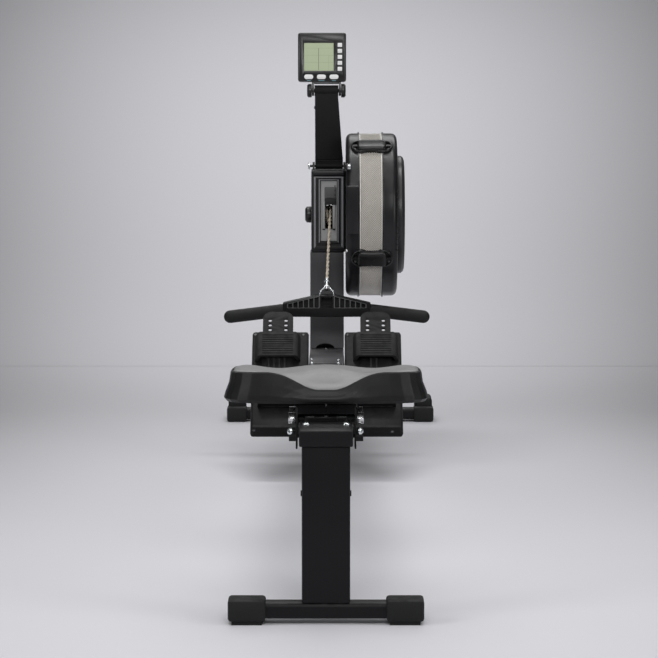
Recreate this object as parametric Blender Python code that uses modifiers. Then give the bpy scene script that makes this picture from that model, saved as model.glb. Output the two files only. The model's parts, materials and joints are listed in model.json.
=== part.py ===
"""Air rowing machine: steel frame with a sloped monorail, sliding seat, cord handle, caged fan and monitor.

Metres, +Z up. The rail runs along Y: the seat's end is at -Y and the fan at +Y, to the right of the column.
"""
import math

import bmesh
import bpy
from mathutils import Matrix, Vector

# Driving dimensions
FOOT_SPAN = 2.140
CLEAR = 0.0004
FIT = 0.001

CAP_DEPTH = 0.050
CAP_HEIGHT = 0.042
CAP_WALL = 0.006
PAD_HEIGHT = 0.006
BAR_DEPTH = 0.040
BAR_HEIGHT = 0.026
REAR_FOOT_LENGTH = 0.325
REAR_CAP_LENGTH = 0.0625
FRONT_FOOT_LENGTH = 0.498
FRONT_FOOT_SHIFT = 0.008
FRONT_CAP_LENGTH = 0.048
FRONT_CAP_HEIGHT = 0.036
FRONT_BAR_BOTTOM = 0.0055

WHEEL_RADIUS = 0.025
WHEEL_WIDTH = 0.020
WHEEL_GAP = 0.009
WHEEL_LIFT = 0.004
WHEEL_BORE = 0.0045

LEG_WIDTH = 0.080
LEG_DEPTH = 0.036
LEG_TOP = 0.318
BRACKET_WALL = 0.0035
BRACKET_DROP = 0.0195
BRACKET_TOP_WALL = 0.0075
BRACKET_TAIL = 0.050
BRACKET_BOLT_X = 0.033

RAIL_SLOPE = math.radians(3.12)
RAIL_GAP = 0.005
RAIL_LENGTH = 1.364
RAIL_WIDTH = 0.072
RAIL_DEPTH = 0.048
RAIL_FLANGE = 0.007
RAIL_WEB = 0.040

NECK_WIDTH = 0.0765
NECK_THICKNESS = 0.052
NECK_SHOULDER = 0.010
STRUT_DEPTH = 0.070

COLUMN_FRONT = 1.778
COLUMN_LEAN = 0.060
COLUMN_DEPTH = 0.070
COLUMN_WIDTH = 0.077
COLUMN_TOP = 0.4385
ARCH_WIDTH = 0.044
ARCH_HEIGHT = 0.012

HEAD_LEFT = -0.0356
HEAD_RIGHT = 0.0430
HEAD_DEPTH = 0.082
HEAD_TOP = 0.6252
WINDOW_LEFT = -0.0143
WINDOW_RIGHT = 0.0232
WINDOW_BOTTOM = 0.4617
WINDOW_TOP = 0.6018
HEAD_BACK_WALL = 0.008

AXLE_HEIGHT = 0.5217
AXLE_SETBACK = 0.040
AXLE_RADIUS = 0.0085
KNOB_RADIUS = 0.0188
KNOB_LENGTH = 0.0138
DRUM_CORE = 0.0150
DRUM_FLANGE = 0.0272
DRUM_WIDTH = 0.0340
DRUM_WALL = 0.0025
PULLEY_RADIUS = 0.0190
PULLEY_RIM = 0.0228
PULLEY_WIDTH = 0.0258
PULLEY_HEIGHT = 0.5735
PULLEY_SETBACK = 0.0245
PIN_RADIUS = 0.0040

FAN_CASE_RADIUS = 0.1866
FAN_CASE_LEFT = 0.0434
FAN_CASE_WALL = 0.0030
FAN_CASE_ROUND = 0.0130
FAN_RIM_PROUD = 0.0030
FAN_RIM_WIDTH = 0.0030
INNER_SHELL_WIDTH = 0.0300
BAND_WIDTH = 0.0520
BAND_WALL = 0.0016
OUTER_SHELL_WIDTH = 0.0346
COVER_RADIUS = 0.135
COVER_HEIGHT = 0.0163
COVER_WALL = 0.0030
VENT_COUNT = 10
VENT_INNER = 0.058
VENT_OUTER = 0.112
VENT_WIDTH = 0.020
DIAL_RADIUS = 0.040
DIAL_HEIGHT = 0.0120
CLIP_LENGTH = 0.0945
CLIP_THICKNESS = 0.0070
CLIP_ANGLES = (59.0, -26.5, 149.0, 239.0)
BLADE_COUNT = 20
BLADE_INNER = 0.085
BLADE_TIP = 0.1755
BLADE_WIDTH = 0.0470
BLADE_WALL = 0.0030
FAN_HUB_RADIUS = 0.030

ARM_PIVOT_LIFT = 0.0083
ARM_LENGTH = 0.1725
ARM_LUG_RADIUS = 0.0072
ARM_WALL_BOTTOM = 0.0636
ARM_WALL_TOP = 0.0525
ARM_THICKNESS = 0.022
ARM_CENTRE_X = 0.0051
ARM_TOP_SHIFT = -0.0060
EAR_WALL = 0.0048
EAR_RISE = 0.0107

TILT_KNOB_RADIUS = 0.0155
TILT_KNOB_LENGTH = 0.0104
TILT_BARREL_LENGTH = 0.0545
TILT_LUG_WALL = 0.0050
TILT_BARREL_RADIUS = 0.0125
TILT_PIN_RADIUS = 0.0045
MONITOR_LEAN = math.radians(6.0)
MONITOR_WIDTH = 0.1100
MONITOR_HEIGHT = 0.1120
MONITOR_DEPTH = 0.0260
MONITOR_CENTRE_X = -0.0109
MONITOR_LIFT = 0.0200
BRACKET_BRIDGE = 0.0055
LCD_WIDTH = 0.0675
LCD_HEIGHT = 0.0635
LCD_CENTRE_X = -0.0182
LCD_CENTRE_Z = 0.0565
BUTTON_TRAVEL = 0.0015
BUTTON_PROUD = 0.0022
SIDE_BUTTON_SIZE = 0.0102
SIDE_BUTTON_X = 0.0298
SIDE_BUTTON_DROP = 0.0285
SIDE_BUTTON_COUNT = 5
SIDE_BUTTON_PITCH = 0.01365
OVAL_BUTTON_WIDTH = 0.0207
OVAL_BUTTON_HEIGHT = 0.0105
OVAL_BUTTON_COUNT = 3
OVAL_BUTTON_PITCH = 0.0289
OVAL_BUTTON_X = -0.0413
OVAL_BUTTON_DROP = 0.1012

HANDLE_S = 1.718
GRIP_RADIUS = 0.0145
GRIP_INNER_X = 0.0975
GRIP_OUTER_X = 0.2320
GRIP_DROP = math.radians(7.0)
GRIP_INNER_HEIGHT = 0.3188
GRIP_ROD_RADIUS = 0.0080
GRIP_ROD_DEPTH = 0.100
GRIP_ROD_ROOT = 0.016
CORE_BOTTOM = 0.3051
CORE_PEAK = 0.3540
CORE_END_TOP = 0.3358
CORE_END_DEPTH = 0.0265
CORE_PEAK_HALF = 0.0180
CORE_DEPTH = 0.030
CORE_LIP = 0.3262
CORE_RIB_PITCH = 0.0119
CORE_RIB_WALL = 0.0018
CORE_WINDOWS_A_SIDE = 6
CORE_WINDOW_DEPTH = 0.020
CORE_POCKET_HALF = 0.0130
BAIL_WIRE = 0.0018
BAIL_WIDTH = 0.0325
BAIL_RISE = 0.0090
CORD_DIAMETER = 0.0080
CORD_TURNS = 1.5
CORD_PITCH = 0.0090
FERRULE_LENGTH = 0.0140

PLATE_SLOPE = math.radians(40.0)
PLATE_TOP_S = 1.588
PLATE_TOP_HEIGHT = 0.2876
PLATE_LENGTH = 0.299
PLATE_WIDTH = 0.1245
PLATE_WALL = 0.006
PLATE_RIM = 0.014
SLIDER_WIDTH = 0.067
SLIDER_WALL = 0.0035
SLIDER_SHIFT = 0.006
SLIDER_PROUD = 0.0552
SLIDER_LENGTH = 0.280
HEEL_CUP_WIDTH = 0.083
HEEL_CUP_HEIGHT = 0.020
SLIDER_HOLE = 0.0042
SLIDER_HOLE_PITCH = 0.0140
SLIDER_HOLE_DROP = 0.0260
SLIDER_HOLE_SPREAD = 0.0350
HEEL_LIP = 0.022
STRAP_START = 0.020
STRAP_LENGTH = 0.070
STRAP_WIDTH = 0.0960
STRAP_WALL = 0.0050
STRAP_RISE = 0.0145
STRAP_CORNER = 0.0090
STRAP_RIBS = 9
STRAP_BORDER = 0.005
FOOT_BAR_RADIUS = 0.011
FOOT_BAR_REACH = 0.120
FOOT_BAR_DEPTH = 0.018

SEAT_WIDTH_TOP = 0.321
SEAT_WIDTH_BOTTOM = 0.3475
SEAT_LENGTH = 0.240
SEAT_START = 0.055
SEAT_BOTTOM = 0.039
SEAT_RIM = 0.087
SEAT_REAR_RISE = 0.006
SEAT_NOTCH_DROP = 0.025
SEAT_NOTCH_FLAT = 0.021
SEAT_NOTCH_HALF = 0.0765
SEAT_LEG_DROP = 0.006
SEAT_WALL = 0.0032
PLATE_GAP = 0.096
CARRIAGE_WALL = 0.003
CARRIAGE_BOTTOM = -0.038
CARRIAGE_TOP = 0.038
CARRIAGE_SPLIT = 0.0006
ROLLER_RADIUS = 0.0125
LOWER_ROLLER_RADIUS = 0.0090
REAR_AXLE_OFFSET = 0.090
AXLE_SPREAD = 0.100
NUT_RADIUS = 0.0105
NUT_LENGTH = 0.0120

# The origin is under the middle of the whole machine
WHEEL_SETBACK = BAR_DEPTH / 2 + WHEEL_RADIUS + WHEEL_GAP
FRONT_REACH = WHEEL_SETBACK + WHEEL_RADIUS
REAR_REACH = CAP_DEPTH / 2
REAR_FOOT_Y = (REAR_REACH - FRONT_REACH - FOOT_SPAN) / 2

RAIL_START = LEG_DEPTH / 2 + RAIL_GAP
AXLE_S = COLUMN_FRONT + COLUMN_LEAN + AXLE_SETBACK
HEAD_FRONT_S = COLUMN_FRONT + COLUMN_LEAN
ARM_PIVOT_HEIGHT = HEAD_TOP + ARM_PIVOT_LIFT
TILT_HEIGHT = ARM_PIVOT_HEIGHT + ARM_LENGTH
EAR_HEIGHT = ARM_PIVOT_LIFT + EAR_RISE
NECK_START = RAIL_START + math.cos(RAIL_SLOPE) * RAIL_LENGTH + FIT
FAN_CASE_RIGHT = FAN_CASE_LEFT + INNER_SHELL_WIDTH + BAND_WIDTH + OUTER_SHELL_WIDTH

COLOURS = {
    "powder_coat": ((0.018, 0.018, 0.020), 0.45, 0.0),
    "shroud": ((0.045, 0.045, 0.048), 0.50, 0.0),
    "rubber": ((0.012, 0.012, 0.012), 0.80, 0.0),
    "case_plastic": ((0.030, 0.030, 0.032), 0.40, 0.0),
    "mesh_metal": ((0.560, 0.540, 0.500), 0.35, 1.0),
    "chrome": ((0.700, 0.700, 0.700), 0.15, 1.0),
    "rail_metal": ((0.060, 0.060, 0.064), 0.35, 0.8),
    "seat_pad": ((0.190, 0.190, 0.200), 0.60, 0.0),
    "seat_shell": ((0.015, 0.015, 0.016), 0.30, 0.0),
    "nylon_cord": ((0.420, 0.380, 0.330), 0.75, 0.0),
    "lcd": ((0.400, 0.450, 0.370), 0.25, 0.0),
    "button_white": ((0.750, 0.750, 0.740), 0.45, 0.0),
    "wheel_plastic": ((0.030, 0.030, 0.030), 0.50, 0.0),
}


def clear_scene():
    for obj in list(bpy.data.objects):
        bpy.data.objects.remove(obj, do_unlink=True)


def make_collection(name):
    collection = bpy.data.collections.new(name)
    bpy.context.scene.collection.children.link(collection)
    return collection


def make_material(slot):
    if slot in bpy.data.materials:
        return bpy.data.materials[slot]
    colour, roughness, metallic = COLOURS[slot]
    material = bpy.data.materials.new(slot)
    material.use_nodes = True
    shader = material.node_tree.nodes["Principled BSDF"]
    shader.inputs["Base Color"].default_value = (*colour, 1.0)
    shader.inputs["Roughness"].default_value = roughness
    shader.inputs["Metallic"].default_value = metallic
    return material


def along(s):
    """World Y of a place s metres in front of the rear foot bar."""
    return REAR_FOOT_Y + s


def rail_height(s):
    """Height of the rail's sloped top face above the floor."""
    return LEG_TOP - math.tan(RAIL_SLOPE) * (s - RAIL_START)


def new_object(name, mesh, slot=None):
    obj = bpy.data.objects.new(name, mesh)
    if slot:
        PARTS.objects.link(obj)
        mesh.materials.clear()
        mesh.materials.append(make_material(slot))
    else:
        CUTTERS.objects.link(obj)
        obj.hide_render = True
        obj.display_type = "WIRE"
    return obj


def smooth(obj, degrees=35.0):
    obj.data.shade_smooth()
    obj.data.set_sharp_from_angle(angle=math.radians(degrees))
    return obj


def box(name, size, centre, slot=None, turn=(0.0, 0.0, 0.0)):
    bm = bmesh.new()
    bmesh.ops.create_cube(bm, size=1.0)
    bmesh.ops.scale(bm, vec=size, verts=bm.verts)
    mesh = bpy.data.meshes.new(name)
    bm.to_mesh(mesh)
    bm.free()
    obj = new_object(name, mesh, slot)
    obj.location = centre
    obj.rotation_euler = turn
    return obj


def cylinder(name, radius, length, centre, axis, slot=None, sides=24, end_radius=None):
    bm = bmesh.new()
    far = radius if end_radius is None else end_radius
    bmesh.ops.create_cone(bm, cap_ends=True, segments=sides, radius1=radius, radius2=far, depth=length)
    turn = Vector((0, 0, 1)).rotation_difference(Vector(axis)).to_matrix()
    bmesh.ops.rotate(bm, matrix=turn, verts=bm.verts)
    mesh = bpy.data.meshes.new(name)
    bm.to_mesh(mesh)
    bm.free()
    obj = new_object(name, mesh, slot)
    obj.location = centre
    return obj


def outline(name, points, thickness, centre, turn, slot=None):
    """A flat closed outline given a thickness, as a welded mesh. Its own plane is XY before the turn."""
    curve = bpy.data.curves.new(name, "CURVE")
    curve.dimensions = "2D"
    curve.fill_mode = "BOTH"
    curve.extrude = thickness / 2
    spline = curve.splines.new("POLY")
    spline.points.add(len(points) - 1)
    for point, (u, v) in zip(spline.points, points):
        point.co = (u, v, 0.0, 1.0)
    spline.use_cyclic_u = True
    return meshed_curve(name, curve, centre, turn, slot)


def meshed_curve(name, curve, centre, turn, slot):
    guide = bpy.data.objects.new(name + "_guide", curve)
    CUTTERS.objects.link(guide)
    guide.location = centre
    guide.rotation_euler = turn
    bpy.context.view_layer.update()
    evaluated = guide.evaluated_get(bpy.context.evaluated_depsgraph_get())
    mesh = bpy.data.meshes.new_from_object(evaluated)
    bm = bmesh.new()
    bm.from_mesh(mesh)
    bmesh.ops.remove_doubles(bm, verts=bm.verts, dist=0.00001)
    bmesh.ops.recalc_face_normals(bm, faces=bm.faces)
    bm.to_mesh(mesh)
    bm.free()
    obj = new_object(name, mesh, slot)
    obj.matrix_world = guide.matrix_world.copy()
    bpy.data.objects.remove(guide, do_unlink=True)
    return obj


def tube(name, points, radius, slot=None, resolution=2, cyclic=False):
    curve = bpy.data.curves.new(name, "CURVE")
    curve.dimensions = "3D"
    curve.bevel_depth = radius
    curve.bevel_resolution = resolution
    curve.use_fill_caps = not cyclic
    spline = curve.splines.new("POLY")
    spline.points.add(len(points) - 1)
    for point, place in zip(spline.points, points):
        point.co = (*place, 1.0)
    spline.use_cyclic_u = cyclic
    return meshed_curve(name, curve, (0, 0, 0), (0, 0, 0), slot)


def turned(name, profile, centre, slot=None, steps=48, closed=False):
    """A profile of (radius, X) pairs turned about the X axis, through a Screw modifier."""
    bm = bmesh.new()
    verts = [bm.verts.new((x, radius, 0.0)) for radius, x in profile]
    for a, b in zip(verts, verts[1:]):
        bm.edges.new((a, b))
    if closed:
        bm.edges.new((verts[-1], verts[0]))
    mesh = bpy.data.meshes.new(name)
    bm.to_mesh(mesh)
    bm.free()
    guide = bpy.data.objects.new(name + "_guide", mesh)
    CUTTERS.objects.link(guide)
    screw = guide.modifiers.new("turn", "SCREW")
    screw.axis = "X"
    screw.steps = steps
    screw.render_steps = steps
    screw.use_merge_vertices = True
    screw.merge_threshold = 0.00001
    bpy.context.view_layer.update()
    evaluated = guide.evaluated_get(bpy.context.evaluated_depsgraph_get())
    solid = bpy.data.meshes.new_from_object(evaluated)
    bm = bmesh.new()
    bm.from_mesh(solid)
    bmesh.ops.remove_doubles(bm, verts=bm.verts, dist=0.00001)
    bmesh.ops.dissolve_degenerate(bm, edges=bm.edges, dist=0.000001)
    bmesh.ops.recalc_face_normals(bm, faces=bm.faces)
    bm.to_mesh(solid)
    bm.free()
    bpy.data.objects.remove(guide, do_unlink=True)
    obj = new_object(name, solid, slot)
    obj.location = centre
    return smooth(obj)


def loft(name, rings, slot, parent=None):
    """A closed skin through rings of points, each ring with the same count, capped at both ends."""
    bm = bmesh.new()
    loops = [[bm.verts.new(place) for place in ring] for ring in rings]
    count = len(rings[0])
    for lower, upper in zip(loops, loops[1:]):
        for i in range(count):
            j = (i + 1) % count
            bm.faces.new((lower[i], lower[j], upper[j], upper[i]))
    bm.faces.new(loops[0])
    bm.faces.new(loops[-1])
    bmesh.ops.recalc_face_normals(bm, faces=bm.faces)
    mesh = bpy.data.meshes.new(name)
    bm.to_mesh(mesh)
    bm.free()
    obj = new_object(name, mesh, slot)
    obj.parent = parent
    return smooth(obj, 40.0)


def round_edges(obj, width, segments=2, degrees=40.0):
    bevel = obj.modifiers.new("rounding", "BEVEL")
    bevel.width = width
    bevel.segments = segments
    bevel.limit_method = "ANGLE"
    bevel.angle_limit = math.radians(degrees)
    return obj


def combine(obj, other, operation="DIFFERENCE"):
    modifier = obj.modifiers.new(operation.lower() + "_" + other.name, "BOOLEAN")
    modifier.operation = operation
    modifier.object = other
    modifier.solver = "EXACT"
    return obj


def under(parent, *objects):
    for obj in objects:
        obj.parent = parent
    return objects


def empty(name, place, turn=(0.0, 0.0, 0.0)):
    marker = bpy.data.objects.new(name, None)
    CUTTERS.objects.link(marker)
    marker.location = place
    marker.rotation_euler = turn
    return marker


def rear_foot():
    bar_length = REAR_FOOT_LENGTH - 2 * CAP_WALL
    bar_middle = (0, along(0), PAD_HEIGHT + 0.004 + BAR_HEIGHT / 2)
    bar = box("rear_foot_bar", (bar_length, BAR_DEPTH, BAR_HEIGHT), bar_middle, "powder_coat")
    round_edges(bar, 0.006, 3)
    for side, sign in (("left", -1), ("right", 1)):
        middle = sign * (REAR_FOOT_LENGTH - REAR_CAP_LENGTH) / 2
        size = (REAR_CAP_LENGTH, CAP_DEPTH, CAP_HEIGHT - PAD_HEIGHT)
        cap_middle = (middle, along(0), PAD_HEIGHT + size[2] / 2)
        cap = box("rear_foot_cap_" + side, size, cap_middle, "rubber")
        round_edges(cap, 0.005, 2)
        pad_size = (REAR_CAP_LENGTH - 0.012, CAP_DEPTH - 0.010, PAD_HEIGHT + 0.004)
        pad = box("rear_pad_" + side, pad_size, (middle, along(0), pad_size[2] / 2))
        combine(cap, pad, "UNION")
        socket = box("rear_socket_" + side, (bar_length + 2 * CLEAR, BAR_DEPTH + 2 * CLEAR,
                                             BAR_HEIGHT + 2 * CLEAR), bar_middle)
        combine(cap, socket)


def front_foot():
    middle_y = along(FOOT_SPAN)
    bar_length = FRONT_FOOT_LENGTH - 2 * CAP_WALL
    bar_middle = (FRONT_FOOT_SHIFT, middle_y, FRONT_BAR_BOTTOM + BAR_HEIGHT / 2)
    bar = box("front_foot_bar", (bar_length, BAR_DEPTH, BAR_HEIGHT), bar_middle, "powder_coat")
    round_edges(bar, 0.006, 3)
    wheel_y = middle_y + WHEEL_SETBACK
    wheel_z = WHEEL_RADIUS + WHEEL_LIFT
    for side, sign in (("left", -1), ("right", 1)):
        middle = FRONT_FOOT_SHIFT + sign * (FRONT_FOOT_LENGTH - FRONT_CAP_LENGTH) / 2
        cap = box("front_foot_cap_" + side, (FRONT_CAP_LENGTH, CAP_DEPTH, FRONT_CAP_HEIGHT),
                  (middle, middle_y, FRONT_CAP_HEIGHT / 2), "rubber")
        round_edges(cap, 0.006, 2)
        fork_width = FRONT_CAP_LENGTH - 0.006
        fork_top = wheel_z + WHEEL_RADIUS + 0.003
        fork_depth = CAP_DEPTH / 2 + WHEEL_SETBACK - 0.004
        fork = box("wheel_fork_" + side, (fork_width, fork_depth, fork_top - 0.010),
                   (middle, middle_y - 0.006 + fork_depth / 2, (fork_top + 0.010) / 2))
        round_edges(fork, 0.009, 3)
        combine(cap, fork, "UNION")
        slot_depth = 2 * (WHEEL_RADIUS + FIT)
        slot = box("wheel_slot_" + side, (WHEEL_WIDTH + 2 * FIT, slot_depth + 0.020, 0.2),
                   (middle, wheel_y + 0.010, wheel_z))
        combine(cap, slot)
        socket = box("front_socket_" + side, (bar_length + 2 * CLEAR, BAR_DEPTH + 2 * CLEAR,
                                              BAR_HEIGHT + 2 * CLEAR), bar_middle)
        combine(cap, socket)
        pin = cylinder("wheel_pin_" + side, WHEEL_BORE - 0.0005, fork_width - 0.004,
                       (middle, wheel_y, wheel_z), (1, 0, 0), sides=16)
        combine(cap, pin, "UNION")
        half = WHEEL_WIDTH / 2
        profile = [(WHEEL_BORE, -half), (WHEEL_RADIUS - 0.004, -half), (WHEEL_RADIUS, -half + 0.004),
                   (WHEEL_RADIUS, half - 0.004), (WHEEL_RADIUS - 0.004, half), (WHEEL_BORE, half)]
        turned("transport_wheel_" + side, profile, (middle, wheel_y, wheel_z), "wheel_plastic", 24, True)


def rear_leg():
    bottom = PAD_HEIGHT + 0.004 + BAR_HEIGHT + CLEAR
    top = LEG_TOP
    leg = box("rear_leg", (LEG_WIDTH, LEG_DEPTH, top - bottom), (0, along(0), (top + bottom) / 2), "powder_coat")
    round_edges(leg, 0.003, 2)
    studs = cylinder("leg_studs", 0.005, LEG_WIDTH + 0.004, (0, along(0), 0.218), (1, 0, 0), sides=12)
    combine(leg, studs, "UNION")
    # The saddle bracket drops over the leg's top and the rail's end
    width = LEG_WIDTH + 2 * (BRACKET_WALL + FIT)
    front = -(LEG_DEPTH / 2 + BRACKET_WALL + FIT)
    back = RAIL_START + BRACKET_TAIL
    ceiling = LEG_TOP + CLEAR
    height = BRACKET_TOP_WALL + BRACKET_DROP
    bracket = box("rail_end_bracket", (width, back - front, height),
                  (0, along((front + back) / 2), ceiling + BRACKET_TOP_WALL - height / 2), "powder_coat")
    round_edges(bracket, 0.0015, 1)
    pocket_size = (LEG_WIDTH + 2 * FIT, LEG_DEPTH + 2 * FIT, 0.1)
    combine(bracket, box("leg_pocket", pocket_size, (0, along(0), ceiling - 0.05)))
    rail_slot = box("rail_slot", (RAIL_WIDTH + 2 * FIT, 0.3, 0.1), (0, along(LEG_DEPTH / 2 + 0.15), ceiling - 0.05))
    combine(bracket, rail_slot)
    for sign in (-1, 1):
        head = cylinder("bracket_bolt_" + ("left" if sign < 0 else "right"), 0.0055, 0.008,
                        (sign * BRACKET_BOLT_X, along(RAIL_START + 0.024), ceiling + BRACKET_TOP_WALL), (0, 0, 1),
                        sides=12, end_radius=0.0042)
        combine(bracket, head, "UNION")


def rail(frame):
    half = RAIL_WIDTH / 2
    web = RAIL_WEB / 2
    foot = half - 0.006
    fillet = 0.002
    foot_top = -RAIL_DEPTH + RAIL_FLANGE
    right = [(half, 0.0), (half, -RAIL_FLANGE), (web + fillet, -RAIL_FLANGE), (web, -RAIL_FLANGE - fillet),
             (web, foot_top + fillet), (web + fillet, foot_top), (foot, foot_top), (foot, -RAIL_DEPTH)]
    section = right + [(-x, z) for x, z in reversed(right)]
    beam = outline("rail", section, RAIL_LENGTH, (0, 0, 0), (math.pi / 2, 0, 0), "rail_metal")
    beam.parent = frame
    beam.location = (0, RAIL_LENGTH / 2, 0)


def front_frame():
    start = NECK_START
    top_start = rail_height(start)
    column_foot = rail_height(COLUMN_FRONT)
    back = COLUMN_FRONT + COLUMN_LEAN + COLUMN_DEPTH + 0.010
    foot_top = FRONT_BAR_BOTTOM + BAR_HEIGHT + CLEAR
    points = [
        (start, top_start), (COLUMN_FRONT - NECK_SHOULDER, column_foot), (back, column_foot),
        (FOOT_SPAN + 0.016, foot_top + 0.030), (FOOT_SPAN + 0.016, foot_top), (FOOT_SPAN - 0.018, foot_top),
        (FOOT_SPAN - 0.018 - STRUT_DEPTH, foot_top + 0.030), (back - STRUT_DEPTH, column_foot - 0.062),
        (COLUMN_FRONT - NECK_SHOULDER, column_foot - NECK_THICKNESS), (start, top_start - RAIL_DEPTH),
    ]
    world = [(along(s), z) for s, z in points]
    frame = outline("front_frame", world, NECK_WIDTH, (0, 0, 0), (math.pi / 2, 0, math.pi / 2), "powder_coat")
    round_edges(frame, 0.003, 2)
    return column_foot


def column(foot):
    base = foot + CLEAR
    rise = COLUMN_TOP - base
    front = []
    steps = 7
    for i in range(steps + 1):
        t = i / steps
        front.append((COLUMN_FRONT + COLUMN_LEAN * (1 - (1 - t) ** 2.2), base + rise * t))
    back_top = HEAD_FRONT_S + COLUMN_DEPTH
    points = [(along(s), z) for s, z in front + [(back_top, COLUMN_TOP), (back_top, base)]]
    shroud = outline("column_shroud", points, COLUMN_WIDTH, (0.0005, 0, 0), (math.pi / 2, 0, math.pi / 2), "shroud")
    round_edges(shroud, 0.004, 2)
    arch = cylinder("column_arch", ARCH_WIDTH / 2, 0.060, (-0.0035, along(COLUMN_FRONT + 0.010), base), (0, 1, 0),
                    sides=24)
    arch.scale = (1.0, 1.0, 2 * ARCH_HEIGHT / ARCH_WIDTH)
    combine(shroud, arch)


def head():
    middle_x = (HEAD_LEFT + HEAD_RIGHT) / 2
    bottom = COLUMN_TOP + CLEAR
    middle_y = along(HEAD_FRONT_S + HEAD_DEPTH / 2)
    body = box("column_head", (HEAD_RIGHT - HEAD_LEFT, HEAD_DEPTH, HEAD_TOP - bottom),
               (middle_x, middle_y, (HEAD_TOP + bottom) / 2), "case_plastic")
    round_edges(body, 0.003, 2)
    window_x = (WINDOW_LEFT + WINDOW_RIGHT) / 2
    window = box("head_window", (WINDOW_RIGHT - WINDOW_LEFT, HEAD_DEPTH, WINDOW_TOP - WINDOW_BOTTOM),
                 (window_x, middle_y - HEAD_BACK_WALL, (WINDOW_TOP + WINDOW_BOTTOM) / 2))
    combine(body, window)
    bore = cylinder("head_bore", AXLE_RADIUS + CLEAR, 0.2, (0, along(AXLE_S), AXLE_HEIGHT), (1, 0, 0), sides=32)
    combine(body, bore)
    pin = cylinder("pulley_pin", PIN_RADIUS, WINDOW_RIGHT - WINDOW_LEFT + 0.01,
                   (window_x, along(HEAD_FRONT_S + PULLEY_SETBACK), PULLEY_HEIGHT), (1, 0, 0), sides=16)
    combine(body, pin, "UNION")
    # Ears for the monitor arm's pivot, with the pivot pin through them
    ear_left = ARM_CENTRE_X - ARM_WALL_BOTTOM / 2 - FIT - EAR_WALL / 2
    ear_right = ARM_CENTRE_X + ARM_WALL_BOTTOM / 2 + FIT + EAR_WALL / 2
    for name, x in (("left", ear_left), ("right", ear_right)):
        ear = box("pivot_ear_" + name, (EAR_WALL, 0.022, EAR_HEIGHT),
                  (x, along(AXLE_S), HEAD_TOP - 0.002 + EAR_HEIGHT / 2))
        combine(body, ear, "UNION")
    pin_start = ear_left - EAR_WALL / 2 - 0.0060
    pin_end = ear_right + EAR_WALL / 2
    pivot = cylinder("arm_pin", PIN_RADIUS - 0.0012, pin_end - pin_start,
                     ((pin_start + pin_end) / 2, along(AXLE_S), ARM_PIVOT_HEIGHT), (1, 0, 0), sides=16)
    combine(body, pivot, "UNION")
    knob_middle = HEAD_LEFT - CLEAR - KNOB_LENGTH / 2
    half = KNOB_LENGTH / 2
    profile = [(0.0, half), (KNOB_RADIUS, half), (KNOB_RADIUS, -half + 0.004), (KNOB_RADIUS - 0.005, -half),
               (0.0, -half)]
    turned("axle_end_cap", profile, (knob_middle, along(AXLE_S), AXLE_HEIGHT), "case_plastic", 32)


def guide_pulley():
    half = PULLEY_WIDTH / 2
    groove = PULLEY_RADIUS
    x = (WINDOW_LEFT + WINDOW_RIGHT) / 2 + 0.0035
    profile = [(PIN_RADIUS + CLEAR, -half), (PULLEY_RIM, -half), (PULLEY_RIM, -half + 0.004),
               (groove, -half + 0.009), (groove, half - 0.009), (PULLEY_RIM, half - 0.004),
               (PULLEY_RIM, half), (PIN_RADIUS + CLEAR, half)]
    turned("cord_pulley", profile, (x, along(HEAD_FRONT_S + PULLEY_SETBACK), PULLEY_HEIGHT),
           "rail_metal", 24, True)


def cord_drum():
    half = DRUM_WIDTH / 2
    x = (WINDOW_LEFT + WINDOW_RIGHT) / 2
    bore = AXLE_RADIUS + CLEAR
    wall = DRUM_WALL
    profile = [(bore, -half), (DRUM_FLANGE, -half), (DRUM_FLANGE, -half + wall), (DRUM_CORE, -half + wall),
               (DRUM_CORE, half - wall), (DRUM_FLANGE, half - wall), (DRUM_FLANGE, half), (bore, half)]
    turned("cord_drum", profile, (x, along(AXLE_S), AXLE_HEIGHT), "rail_metal", 28, True)


def cord_points():
    """The cord's turns on the drum, then its straight run down to the ferrule on the handle."""
    radius = DRUM_CORE + CORD_DIAMETER / 2 + 2 * CLEAR
    centre = Vector((0, along(AXLE_S), AXLE_HEIGHT))
    end = Vector((0, along(HANDLE_S), CORE_PEAK + BAIL_RISE + FERRULE_LENGTH))
    reach = end - centre
    # The tangent leaves the drum's upper near side, towards the handle
    bearing = math.atan2(reach.z, -reach.y)
    leave = bearing + math.acos(radius / math.hypot(reach.y, reach.z))
    per_turn = 20
    count = int(CORD_TURNS * per_turn)
    first_x = (WINDOW_LEFT + WINDOW_RIGHT - DRUM_WIDTH) / 2 + DRUM_WALL + CORD_DIAMETER / 2 + FIT
    points = []
    for i in range(count + 1):
        angle = leave + 2 * math.pi * (count - i) / per_turn
        x = first_x + CORD_PITCH * i / per_turn
        points.append((x, centre.y - radius * math.cos(angle), centre.z + radius * math.sin(angle)))
    last = Vector(points[-1])
    end.x = 0.0
    run = 14
    for i in range(1, run + 1):
        points.append(tuple(last.lerp(end, i / run)))
    return points


def least_gap(points, diameter, skip):
    """The smallest clear space between two stretches of the cord that aren't neighbours."""
    least = 1.0
    for i, a in enumerate(points):
        for b in points[i + skip:]:
            least = min(least, (Vector(a) - Vector(b)).length - diameter)
    return least


def pull_cord():
    points = cord_points()
    gap = least_gap(points, CORD_DIAMETER, 10)
    print("least gap between the cord's turns, in mm:", round(1000 * gap, 2))
    smooth(tube("pull_cord", points, CORD_DIAMETER / 2, "nylon_cord", 1), 60.0)
    end = Vector(points[-1])
    direction = (Vector(points[-2]) - end).normalized()
    return end - direction * CLEAR, direction


def core_end(z):
    """Where the core's slanted end face, parallel to the grip's, stands at height z."""
    return GRIP_INNER_X - CLEAR + math.tan(GRIP_DROP) * (z - GRIP_INNER_HEIGHT)


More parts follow.
